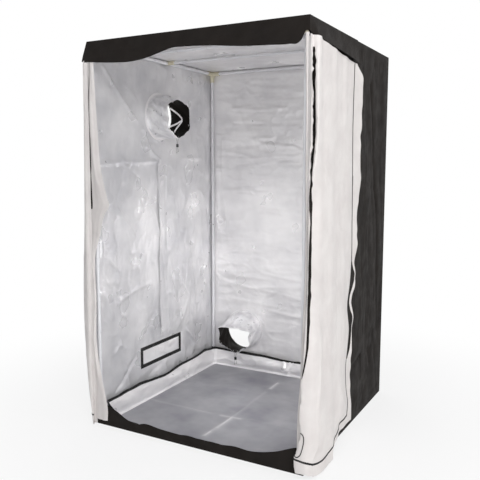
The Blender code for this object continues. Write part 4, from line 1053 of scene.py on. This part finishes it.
def row_at(grid, u, height):
    """The fractional row at which each column u of a grid reaches a height."""
    return np.array([np.interp(level, grid[:, int(round(place)), 2], np.arange(len(grid)))
                     for place, level in zip(u, height)])


def ribbon(name, points, facing, width, thickness, material):
    """A flat tape along a line of points."""
    across = np.cross(facing, np.gradient(points, axis=0))
    across = across / np.maximum(np.linalg.norm(across, axis=1, keepdims=True), 1e-9)
    grid = np.stack([points + across * offset for offset in np.linspace(width / 2, -width / 2, 5)], axis=1)
    return two_faced(name, grid, material, material, thickness=thickness)


def laid_strip(name, grid, first, last, heights, rests_on, body):
    """A strip of canvas sewn on a sheet between two columns, which may change with height."""
    rows = row_at(grid, np.full(len(heights), (first + last).mean() / 2), heights)
    normals = grid_normals(grid)
    laid = np.stack([on_grid(grid, u, rows) + on_grid(normals, u, rows) * FACING_LIFT
                     for u in (first + (last - first) * share for share in np.linspace(0, 1, 15))], 1)
    length = float(heights[-1] - heights[0])
    return sewn(name, laid, black_canvas, black_canvas, body, "black_canvas", thickness=TAPE_THICKNESS,
                flat=(max(0.01, sheet_area(laid) / length), length), area=sheet_area(laid), held="stretched",
                rests_on=[rests_on])


def door_zip(side, grid, edge_column, foot_height):
    """Tape and coil from the front corner along the foot, round the turn and up the meeting edge."""
    normals = grid_normals(grid) * (1 if side == "right" else -1)
    columns = np.linspace(2, edge_column, 4 * edge_column)
    foot_rows = row_at(grid, columns, foot_height(columns / edge_column))
    climb = np.linspace(foot_rows[-1], grid.shape[0] - 1.5, 1000)[1:]
    u = np.concatenate([columns, np.full(len(climb), float(edge_column))])
    path = np.stack([u, np.concatenate([foot_rows, climb])], -1)
    # The turn is eased over eight points to each side.
    turn = slice(len(columns) - 9, len(columns) + 8)
    for _ in range(8):
        path[turn] = (path[turn] + np.roll(path, 1, 0)[turn] + np.roll(path, -1, 0)[turn]) / 3
    points, facing = on_grid(grid, *path.T), on_grid(normals, *path.T)
    for _ in range(3):
        facing[1:-1] = (facing[:-2] + facing[1:-1] + facing[2:]) / 3
    facing /= np.linalg.norm(facing, axis=1, keepdims=True)
    lift = CLOTH / 2 + TAPE_THICKNESS / 2 + 0.0003
    tape = ribbon(f"{side}_zip_tape", points + facing * lift, facing, TAPE_WIDTH, TAPE_THICKNESS, black_tape)
    coil = beads(f"{side}_zip_coil", [(points + facing * (lift + 0.0008), facing)], COIL_PITCH, COIL_BEAD, black_coil)
    for piece in (tape, coil):
        pressed(fixed(piece, f"{side}_door"))
    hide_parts(f"{side}_door_zip")


foot_zip = through([(0, 0.096), (0.1, 0.092), (0.16, 0.082), (0.22, 0.066), (0.34, 0.06), (0.5, 0.066), (0.8, 0.084),
                    (1, 0.09)], 1, 1)
door_zip("right", right_door_grid, 95, lambda share: spline(*foot_zip, share))
door_zip("left", left_door_grid, 82, lambda share: 0.056 + 0 * share)

# At the foot beside the post the half's hem is turned up, and its bound edge shows: its (column, height).
turn_up = through([(0.0, (5.0, 0.216)), (0.2, (6.6, 0.204)), (0.5, (8.4, 0.15)), (0.68, (9.8, 0.112)),
                   (0.74, (9.2, 0.106)), (1.0, (5.0, 0.12))], 1, 1)
u, height = spline(*turn_up, np.linspace(0, 1, 70)).T
v = row_at(right_door_grid, u, height)
facing = on_grid(grid_normals(right_door_grid), u, v)
bound_edge = ribbon("right_foot_binding", on_grid(right_door_grid, u, v) + 0.0018 * facing, facing, 0.0042,
                    TAPE_THICKNESS, black_tape)
pressed(fixed(bound_edge, "right_door"))

# Painted shade: a black strip stands in for the shade in the fold beside the right post. A black facing shows under
# the flap where the flap is turned up. Each is laid between two lines of (height, column).
facings_and_shade_strips = {
    "right_seam_shade_strip": (
        np.arange(0.46, 1.875, 0.005),
        [(0.46, 3.6), (0.6, 5.2), (0.8, 8.9), (1.01, 11.7), (1.2, 11.9), (1.28, 9.6), (1.35, 8.3), (1.5, 10),
         (1.67, 9.2), (1.85, 5.5), (1.88, 5.2)],
        [(0.46, 4.2), (0.6, 6.6), (0.8, 10.8), (1.01, 13.4), (1.2, 13.6), (1.28, 13.4), (1.35, 13.2), (1.5, 15.5),
         (1.67, 13.8), (1.85, 8.6), (1.88, 7)]),
    "right_flap_facing": (
        np.arange(0.4, 0.9, 0.004),
        [(0.4, 95.6), (0.9, 95.6)],
        [(0.4, 97), (0.45, 101.5), (0.52, 104), (0.6, 104.6), (0.66, 102), (0.72, 99), (0.8, 104.5), (0.86, 102),
         (0.9, 97)]),
}
for name, (heights, low_columns, high_columns) in facings_and_shade_strips.items():
    first = spline(*through(low_columns, 1, 1), heights)
    last = spline(*through(high_columns, 1, 1), heights)
    last = last + 0.7 * waver(heights, 0.03, 351) * ease((last - first - 1.0) / 2)
    pressed(laid_strip(name, right_door_grid, first, last, heights, "right_door_sheet", "right_door"))

# The left jamb has the same black strip, painted in for the shade in the fold beside its post.
heights = np.arange(1.16, 1.905, 0.005)
fold_column = through([(1.16, 0.9), (1.31, 1.6), (1.5, 3.2), (1.7, 5.0), (1.86, 6.6), (1.91, 7.0)], 1, 1)
middle = spline(*fold_column, heights)
half = 0.55 + 0.35 * waver(heights, 0.05, 353)
strip = laid_strip("left_jamb_shade_strip", left_jamb_grid, middle - half, middle + half, heights, "left_jamb_cloth",
                   "tent")
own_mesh(strip)


# ---- Duct ports ----
# A round port in the left wall and one low in the rear wall. A sleeve of cover cloth, silver outside and black
# inside, is sewn round each; a drawcord in its hem gathers it on a duct, and a sprung lock holds the cord.
SLEEVE_LENGTH = 0.14
MOUTH_RADIUS = 0.112
SLEEVE_SAG = 0.01
GATHERS = 6
CAD_GATHER = 0.007
FLANGE_WIDTH = 0.014
CORD_SETBACK = 0.012
CORD_RADIUS = 0.0015
CORD_TAIL = 0.085
TAIL_MORE = 0.0032
LOCK_DROP = 0.042
LOCK_CORD_SPREAD = 0.007
MOUTH_X = -0.456
grey_cord = grained("grey_cord", (0.5, 0.5, 0.49), 0.7, tint=(0.0012, 2, (0.56, 0.56, 0.55), (0.3, 0.3, 0.3)),
                    grain=(0.0009, 2, 0.0003, 0.8, (1, 1, 0.5)))
black_plastic = grained("black_plastic", (0.016, 0.016, 0.017), 0.4, shine=(0.004, 3, 0.32, 0.52),
                        grain=(0.0006, 2, 0.00006, 0.6))


def tube_along(name, points, radius, material, sides=8, closed=False):
    """A round cord along points, with closed ends, or a ring of cord."""
    points = np.asarray(points, float)
    ahead = np.gradient(points, axis=0) if not closed else np.roll(points, -1, 0) - np.roll(points, 1, 0)
    ahead /= np.linalg.norm(ahead, axis=1, keepdims=True)
    side = np.cross(ahead[0], (0.31, 0.55, 0.77))
    form, rings = bmesh.new(), []
    for point, direction in zip(points, ahead):
        side = side - direction * side.dot(direction)
        side /= np.linalg.norm(side)
        up = np.cross(direction, side)
        rings.append([form.verts.new(point + radius * (math.cos(turn) * side + math.sin(turn) * up))
                      for turn in np.arange(sides) * 2 * math.pi / sides])
    skin(form, rings, closed)
    return made(form, name, material, angle=60)


def port_place(centre, inward):
    """Turns (distance in, angle, radius) at a port into points."""
    centre, inward = np.array(centre), np.array(inward, float)
    across = np.cross(inward, (0, 0, 1))

    def place(distance, angle, radius, drop=0.0):
        flat = np.stack([np.cos(angle) * radius, np.sin(angle) * radius - drop], -1)
        return (centre + inward * np.asarray(distance)[..., None] + across * flat[..., :1]
                + np.array((0, 0, 1.0)) * flat[..., 1:])
    return place


def sleeve(place, droop, lip, spread_out, seed):
    """The sleeve's cloth. The mouth above the lip's height folds down by the share droop."""
    angles = np.linspace(0, 2 * math.pi, 145)[None, :] - math.pi / 2
    share = np.linspace(0, 1, 30)[:, None]
    distance = 0.0012 + (SLEEVE_LENGTH - 0.0012) * share * np.ones_like(angles)
    radius = PORT_RADIUS + (MOUTH_RADIUS - PORT_RADIUS) * share
    radius = radius + CAD_GATHER * ease(share) * np.cos(GATHERS * (angles + math.pi / 2))
    loose = ease(share / 0.25)
    ring_u, ring_v = np.cos(angles), np.sin(angles)
    radius += loose * 0.005 * lumps(ring_u * 1.3, ring_v * 1.3 + 1.1 * share, 0.55, 0.45, seed)
    creased = crumple(ring_u * 1.3 + share * 0.5, ring_v * 1.3 + 1.2 * share, 0.42, 0.4, seed + 2, 3)
    radius += loose * 0.006 * (creased - 0.35)
    over = np.maximum(radius * np.sin(angles) - lip, 0)
    fold_in = ease((share - 0.35) / 0.6)
    drop = SLEEVE_SAG * ease(share) + 0 * angles + fold_in * over * droop
    distance = distance - fold_in * over * droop * 0.25
    radius = radius * (1 + spread_out * ease(share) * np.maximum(np.cos(angles), 0) ** 2)
    distance += 0.004 * ease((share - 0.5) / 0.5) * lumps(ring_u, ring_v, 0.5, 0.5, seed + 5)
    return place(distance, angles + 0 * share, radius, drop)


for name, wall, centre, inward, shape in (
        ("upper", "left_wall_cloth", (-0.5985, *UPPER_PORT), (1, 0, 0), (0.42, 0.078, 0.0, 201)),
        ("lower", "rear_wall_cloth", (LOWER_PORT[0], 0.5985, LOWER_PORT[1]), (0, -1, 0), (0.86, 0.03, 0.14, 211))):
    place = port_place(centre, inward)
    grid = sleeve(place, *shape)
    sewn(f"{name}_sleeve_cloth", grid, sleeve_film, black_canvas, "tent", "silver_lining", f"{name}_duct_sleeve",
         thickness=0.001, loop=True, flip=True, flat=(0.8, 0.175), area=sheet_area(grid), held="gathered",
         rests_on=[wall])
    # The seam allowance is a flat ring of film on the lining, and a second ring of canvas finishes the outside.
    angles = np.linspace(0, 2 * math.pi, 97)[None, :] * np.ones((4, 1))
    wide = np.linspace(PORT_RADIUS + 0.0005, PORT_RADIUS + FLANGE_WIDTH, 4)[:, None] * np.ones((1, 97))
    for label, depth, cloth, slot, flip in (("seam_ring", 0.0006, silver_film, "silver_lining", False),
                                            ("outer_ring", -0.0024, black_canvas, "black_canvas", True)):
        sewn(f"{name}_port_{label}", place(np.full(wide.shape, depth), angles, wide), cloth, cloth, "tent", slot,
             thickness=0.001, loop=True, flip=flip, flat=(0.87, 0.014), area=0.0117, held="stretched",
             rests_on=[wall])
    # The hem's drawcord, and its two tails through the lock.
    hem = grid[27, :-1] + (grid[27, :-1] - grid[27, :-1].mean(0)) * 0.018
    fixed(tube_along(f"{name}_hem_cord", hem[::3], CORD_RADIUS, silver_film, closed=True), "tent")
    reach = SLEEVE_LENGTH - CORD_SETBACK
    gathered = float(ease(reach / SLEEVE_LENGTH))
    foot_radius = PORT_RADIUS + (MOUTH_RADIUS - PORT_RADIUS) * (reach / SLEEVE_LENGTH) + (CLOTH + CORD_RADIUS + 0.0006)
    foot_radius += CAD_GATHER * gathered * math.cos(GATHERS * -math.pi / 2)
    foot = place(np.array(reach), np.array(-math.pi / 2), np.array(foot_radius), SLEEVE_SAG * gathered)
    across = np.cross(np.array(inward, float), (0, 0, 1))
    for hand, label, tail_out in ((1, "first", 0.0065), (-1, "second", 0.0075)):
        top = foot + across * hand * 0.015 + np.array((0, 0, 0.004))
        lock_top = foot + across * hand * LOCK_CORD_SPREAD / 2 - np.array((0, 0, LOCK_DROP))
        tail = foot + across * hand * tail_out - np.array((0, 0, CORD_TAIL + TAIL_MORE + 0.004 * hand))
        path = smoothed(np.array([
            top, top - (0, 0, 0.01) - across * hand * 0.0015, (top + lock_top) / 2 - across * hand * 0.002,
            lock_top + (0, 0, 0.008), lock_top - (0, 0, 0.019), tail + (0, 0, 0.012), tail]), 26)[0]
        cord = fixed(tube_along(f"{name}_cord_{label}_tail", path, CORD_RADIUS, grey_cord), "tent")
        knot = turned(f"{name}_cord_{label}_knot",
                      [(0, 0.0012), (0.001, 0.003), (0.003, 0.0036), (0.0052, 0.003), (0.0064, 0.0012)],
                      path[-1] + (0, 0, 0.0035), path[-1] - (0, 0, 0.003), grey_cord, 12, False)
        fixed(knot, "tent")
        length = float(np.linalg.norm(np.diff(path, axis=0), axis=1).sum())
        if hand > 0:
            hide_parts(f"{name}_drawcord")
    dressed([f"{name}_cord_lock"], black_plastic)

# Two pleats of the upper sleeve's edge are drawn across its mouth, given as (y, z).
for label, off, places in (
        ("long", 0, [(-0.09, 1.704), (-0.04, 1.688), (0.012, 1.664), (0.029, 1.648), (0.004, 1.634),
                     (-0.098, 1.6)]),
        ("short", 0.0015, [(0.03, 1.643), (0.006, 1.622), (-0.026, 1.598), (-0.052, 1.574)])):
    line, reach = smoothed(np.array([(MOUTH_X + off, *place) for place in places]), 40)
    pleat = ribbon(f"upper_sleeve_{label}_pleat", line, np.tile((1.0, 0.0, 0.0), (40, 1)), 0.01, 0.001, silver_film)
    fixed(pleat, "tent")


# ---- Low vent ----
# A netted slot low in the left wall. Its silver cover folds up on the inside on a sewn edge, and has a border of
# black webbing that closes on the wall.
NET_PITCH = 0.003
COVER_MARGIN = 0.022
COVER_STEP = 0.0055
COVER_TOP = 0.314
COVER_BOTTOM = 0.188
COVER_FRONT = -0.223
COVER_REAR = 0.193
STITCH_PITCH = 0.0046
STITCH = (0.0031, 0.0007, 0.0006)
STITCH_X = -0.595

black_webbing, tree, shader = finish("black_webbing", (0.011, 0.0105, 0.01), 0.62)
place = coordinates(tree, "UV")
mottle = ranged(tree, noise(tree, place, 0.03, 4), 0, 1)
feed(tree, shader, {"Specular IOR Level": 0.35, "Base Color": between(
    tree, mottle, (0.013, 0.012, 0.0115, 1), (0.007, 0.0065, 0.006, 1))})
bump = raised(tree, shader, threads(tree, place, 0.0016), 0.0004, 0.8)
raised(tree, shader, noise(tree, place, 0.0012, 3, (1, 4, 1)), 0.0002, 0.6, bump)
grey_net = grained("grey_net", (0.22, 0.22, 0.23), 0.6, tint=(0.02, 3, (0.26, 0.26, 0.27), (0.17, 0.17, 0.18)),
                   grain=(0.0004, 2, 0.0001, 0.6))
black_thread = grained("black_thread", (0.03, 0.028, 0.027), 0.55, grain=(0.0003, 2, 0.0001, 0.5))

y, z = np.meshgrid(np.arange(vent_y[0], vent_y[1] + 0.0001, NET_PITCH / 3),
                   np.arange(vent_z[0], vent_z[1] + 0.0001, NET_PITCH / 3))
belly = (0.0016 * np.cos(math.pi * (y - VENT_Y) / (vent_y[1] - vent_y[0]))
         * np.cos(math.pi * (z - VENT_Z) / (vent_z[1] - vent_z[0])))
across, up = np.meshgrid(np.arange(y.shape[1] - 1), np.arange(y.shape[0] - 1))
sewn("vent_net_mesh", np.stack([-0.5993 - belly, y, z], -1), grey_net, grey_net, "tent", "grey_net", "vent_net",
     thickness=0.0006, keep=(across % 3 == 0) | (up % 3 == 0), flip=True, flat=(0.372, 0.082),
     area=0.372 * 0.082 * 0.56, held="stretched", rests_on=["left_wall_cloth"])

y, z = np.meshgrid(stops(COVER_FRONT, COVER_REAR, COVER_STEP, COVER_FRONT + COVER_MARGIN, COVER_REAR - COVER_MARGIN),
                   stops(COVER_BOTTOM, COVER_TOP, COVER_STEP, COVER_BOTTOM + COVER_MARGIN, COVER_TOP - COVER_MARGIN))
inset = np.minimum(np.minimum(y - COVER_FRONT, COVER_REAR - y), np.minimum(z - COVER_BOTTOM, COVER_TOP - z))
pad = ease((inset - COVER_MARGIN) / 0.012)
x = -0.59745 + pad * (0.0018 * lumps(y, z, 0.045, 0.03, 301) + 0.004 * crumple(y, z, 0.05, 0.035, 303, 4))
sewn("vent_cover_cloth", np.stack([x, y, z], -1), silver_film, black_canvas, "vent_cover", "silver_lining",
     "vent_cover", thickness=0.0012, flat=(0.416, 0.126), held="hung", rests_on=["left_wall_cloth"])
sewn("vent_border_webbing", np.stack([-0.5957 + 0.0003 * lumps(y, z, 0.06, 0.05, 305), y, z], -1), black_webbing,
     black_webbing, "vent_cover", "black_webbing", "vent_cover_border", thickness=0.0012,
     keep=cells(inset) < COVER_MARGIN, flat=(0.416, 0.126), area=0.416 * 0.126 - 0.372 * 0.082, held="stretched",
     rests_on=["vent_cover_cloth"])

lines = []
for offset in (0.0025, COVER_MARGIN - 0.0025):
    front, rear = COVER_FRONT + offset, COVER_REAR - offset
    low, high = COVER_BOTTOM + offset, COVER_TOP - offset
    turns = np.array([(STITCH_X, *place) for place in ((front, low), (rear, low), (rear, high), (front, high))])
    for start, stop in zip(turns, np.roll(turns, -1, 0)):
        count = max(2, int(np.linalg.norm(stop - start) / 0.004))
        points = start + (stop - start) * np.linspace(0, 1, count)[:, None]
        lines.append((points, np.tile((1.0, 0.0, 0.0), (count, 1))))
fixed(beads("vent_border_stitches", lines, STITCH_PITCH, STITCH, black_thread), "vent_cover")

# A strip of film covers the wall's seam between the port and the vent; its stitched edges stand up a little.
column_kept = (left_wall_grid[0, :, 1] > -0.038) & (left_wall_grid[0, :, 1] < 0.05)
row_kept = (left_wall_grid[:, 0, 2] > 0.335) & (left_wall_grid[:, 0, 2] < 1.425)
grid = left_wall_grid[row_kept][:, column_kept].copy()
edge = np.minimum(grid[..., 1] - grid[:, :1, 1], grid[:, -1:, 1] - grid[..., 1])
curl = np.exp(-(edge / 0.009) ** 2) * (1 + 0.5 * lumps(grid[..., 1], grid[..., 2], 0.1, 0.2, 307))
grid[..., 0] += CLOTH / 2 + 0.0008 + 0.0055 * curl
# The strip's film carries the left wall's painted shade.
sewn("left_seam_strip", grid, painted_shade_film, painted_shade_film, "tent", "silver_lining", thickness=0.0009, flip=True,
     flat=(0.088, 1.09), area=sheet_area(grid), held="stretched", rests_on=["left_wall_cloth"])


# ---- Floor tray ----
# A loose silver tray that catches spilt water. Its sides stand up against the walls, slack and creased, with a rim
# bound in black webbing and tied to the feet of the posts; behind the sill the front side is let down.
TRAY_REACH = 0.569
TRAY_CUT = 0.018
TRAY_FLOOR = 0.0036
TRAY_COVE = 0.016
TRAY_EDGE = 0.56
SIDE_STEPS = 150
CORNER_STEPS = 6
COVE_SHARE = 0.24
BINDING = 0.015
# Painted shade: the tray floor's film is coloured much darker than the same silver film on its sides, for the dark
# inside of the tent that it reflects.
painted_shade_tray_film = cloth_finish("painted_shade_tray_film", (0.44, 0.44, 0.46), (0.28, 0.28, 0.31), 0.56, 0.3, patch=0.3,
                         weave=0.00003, crinkle=0.0012, crinkle_size=0.03)

# Half-way heights of the rim along each side, from its first corner to its last, going round from the front right.
rim_heights = {
    "right": through([(0, 100), (0.2, 112), (0.45, 116), (0.7, 108), (1, 104)], 1),
    "rear": through([(0, 104), (0.25, 100), (0.5, 106), (0.75, 111), (1, 116)], 1),
    "left": through([(0, 118), (0.1, 128), (0.22, 119), (0.36, 113), (0.5, 101), (0.62, 108), (0.75, 119),
                     (0.9, 115), (1, 112)], 1),
    "front": through([(0, 108), (0.02, 86), (0.06, 58), (0.11, 34), (0.18, 24), (0.5, 28), (0.8, 28), (0.9, 40),
                      (0.96, 70), (1, 100)], 1),
}
reach, cut = TRAY_REACH, TRAY_CUT
plan_corners = np.array([(reach, -reach + cut), (reach, reach - cut), (reach - cut, reach), (-reach + cut, reach),
                         (-reach, reach - cut), (-reach, -reach + cut), (-reach + cut, -reach), (reach - cut, -reach)])
names = ["right", None, "rear", None, "left", None, "front", None]
plan, rim_z, outward, travel = [], [], [], []
so_far = 0.0
for index, (start, name) in enumerate(zip(plan_corners, names)):
    way = plan_corners[(index + 1) % 8] - start
    length = np.linalg.norm(way)
    count = SIDE_STEPS if name else CORNER_STEPS
    for step in range(count):
        share = step / count
        plan.append(start + way * share)
        rim_z.append(float(spline(*rim_heights[name], share)) if name else
                     rim_heights[names[index - 1]][1][-1] * (1 - share)
                     + rim_heights[names[(index + 1) % 8]][1][0] * share)
        outward.append((way[1] / length, -way[0] / length))
        travel.append(so_far + length * share)
    so_far += length
plan, outward, rim_z, travel = np.array(plan), np.array(outward), np.array(rim_z), np.array(travel)
rim_z = rim_z + 0.0024 * waver(travel, 0.07, 311) + 0.0022 * waver(travel, 0.16, 313)
for _ in range(6):
    outward = (np.roll(outward, 1, 0) + outward + np.roll(outward, -1, 0)) / 3
outward /= np.linalg.norm(outward, axis=1, keepdims=True)
plan, outward = np.concatenate([plan, plan[:1]]), np.concatenate([outward, outward[:1]])
rim_z, travel = np.append(rim_z, rim_z[0]), np.append(travel, so_far)
share = np.linspace(0, 1, 22)[:, None]
turn = np.clip(share / COVE_SHARE, 0, 1) * math.pi / 2
height = np.where(share < COVE_SHARE, TRAY_FLOOR + 0.001 + TRAY_COVE * (1 - np.cos(turn)),
                  TRAY_FLOOR + 0.001 + TRAY_COVE
                  + (rim_z - TRAY_COVE - TRAY_FLOOR) * (share - COVE_SHARE) / (1 - COVE_SHARE))
height = np.minimum(height, rim_z)
back = np.where(share < COVE_SHARE, TRAY_COVE * (1 - np.sin(turn)), 0) + 0.0008
slackness = np.sin(math.pi * np.clip((share - 0.1) / 0.8, 0, 1)) * ease((rim_z - 0.045) / 0.04)
around = travel[None, :]
back = back + slackness * (0.0085 + 0.006 * lumps(around, 3 * share, 0.13, 1.2, 315)
                           + 0.0055 * (crumple(around + 0.02 * share, share * 0.12, 0.07, 0.05, 317, 3) - 0.3))
# The film is gathered to a point at the foot of the rear side.
for foot_x, rim_x in ((-0.021, -0.034), (-0.019, 0.014), (-0.02, 0.04)):
    gap = plan[:, 0] - (foot_x + (rim_x - foot_x) * share)
    back = back + 0.0085 * np.exp(-(gap / 0.0085) ** 2) * (plan[:, 1] > 0.5) * np.sin(math.pi * share) ** 0.7
grid = np.concatenate([plan[None] - outward[None] * np.maximum(back, 0.0004)[..., None], height[..., None]], axis=2)
sewn("tray_side_cloth", grid, silver_film, silver_film, "tent", "silver_lining", "floor_tray", thickness=0.0009,
     loop=True, flip=True, flat=(4.56, 0.14), area=sheet_area(grid), held="gathered", rests_on=["tray_floor_cloth"])

# Painted highlight: the film is painted white along the sharpest creases, where their raised ridges catch the light.
tree = painted_shade_tray_film.node_tree
shader = tree.nodes["Principled BSDF"]
painted_highlight = add(tree, "ShaderNodeAttribute", attribute_name="painted_crease_highlight").outputs["Fac"]
base = shader.inputs["Base Color"].links[0].from_socket
feed(tree, shader, {"Base Color": between(tree, painted_highlight, base, (0.88, 0.87, 0.86, 1))})
painted_highlight_creases = [([(-3, -470), (0, -420)], 0.85), ([(4, -360), (10, -205)], 0.75), ([(0, -420), (4, -360)], 0.45),
                ([(9, -180), (4, 220)], 0.18), ([(3.5, 290), (1, 400)], 0.9), ([(-60, -206), (10, -205), (60, -200)],
                0.5), ([(-500, -213.8), (-120, -206.8)], 0.2)]
x, y = np.meshgrid(stops(-TRAY_EDGE, TRAY_EDGE, 0.008), stops(-TRAY_EDGE, TRAY_EDGE, 0.008))
calm = ease((TRAY_EDGE - np.maximum(np.abs(x), np.abs(y))) / 0.03)
z = 0.0018 + 0.0012 * lumps(x, y, 0.34, 0.26, 321) + 0.0006 * lumps(x, y, 0.12, 0.1, 323)
z = folded(z, x, y, [
    ([(-6, -540), (10, -205), (-1, 540)], 4.5, 9),
    ([(-540, -215), (-303, -209), (10, -205), (149, -188), (540, -190)], 3.4, 10),
    ([(-540, 170), (0, 180), (540, 175)], 2.6, 10),
    ([(-285, -540), (-280, 0), (-285, 540)], 2, 12),
    ([(290, -540), (285, 0), (290, 540)], 2.6, 11),
    ([(340, -540), (420, -400), (550, -330)], 6, 20),
])
z = TRAY_FLOOR - 0.0008 + np.clip(z * calm, -0.0002, 0.008)
tray_floor = sewn("tray_floor_cloth", np.stack([x, y, z], -1), painted_shade_tray_film, silver_film, "tent", "silver_lining",
                  thickness=0.0009, flat=(1.12, 1.12), held="laid", rests_on=["ground_cloth"])
# How strongly the painted highlight shows at each point of the tray floor, from 0 to 1.
painted_crease_highlight = tray_floor.data.attributes.new("painted_crease_highlight", "FLOAT", "POINT")
spots = np.array([corner.co for corner in tray_floor.data.vertices])
painted_highlight = np.zeros(len(spots))
for points, amount in painted_highlight_creases:
    painted_highlight = np.maximum(painted_highlight, amount * fold_line(spots[:, 0], spots[:, 1], points, 1.0, 0.0075))
painted_crease_highlight.data.foreach_set("value", np.clip(painted_highlight, 0, 1).astype(np.float32))

# The binding is webbing folded over the rim: its section, as (distance out, height).
section = [(-0.002, 0.0), (-0.0023, BINDING * 0.5), (-0.0018, BINDING - 0.0008), (0.0, BINDING),
           (0.0018, BINDING - 0.0008), (0.0023, BINDING * 0.5), (0.002, 0.0), (0.0, 0.0004)]
rolled = 1 + 0.16 * waver(travel, 0.06, 333) + 0.14 * waver(travel, 0.15, 334)
form = bmesh.new()
rings = []
for offset, level in section:
    sway = 0.0007 * waver(travel, 0.02, 331, level * 40)
    ring = plan - outward * (0.0012 - offset + sway)[:, None]
    ring = np.concatenate([ring, (rim_z - BINDING * 0.6 + level * rolled)[:, None]], axis=1)
    rings.append([form.verts.new(point) for point in ring[:-1]])
uv_layer = form.loops.layers.uv.new("cut")
for row, (lower, upper) in enumerate(zip(rings, rings[1:] + rings[:1])):
    for step in range(len(lower)):
        after = (step + 1) % len(lower)
        face = form.faces.new((lower[step], upper[step], upper[after], lower[after]))
        marks = [(travel[step], row), (travel[step], row + 1), (travel[step + 1], row + 1), (travel[step + 1], row)]
        for loop, (u, v) in zip(face.loops, marks):
            loop[uv_layer].uv = (u, v * 0.004)
fixed(made(form, "tray_binding_webbing", black_webbing, angle=60), "tent", "tray_binding")
dressed([f"tray_tie_{end}_{side}" for end, side, inward, back in CORNERS], black_webbing)
dressed(["zip_slider"], black_coil)
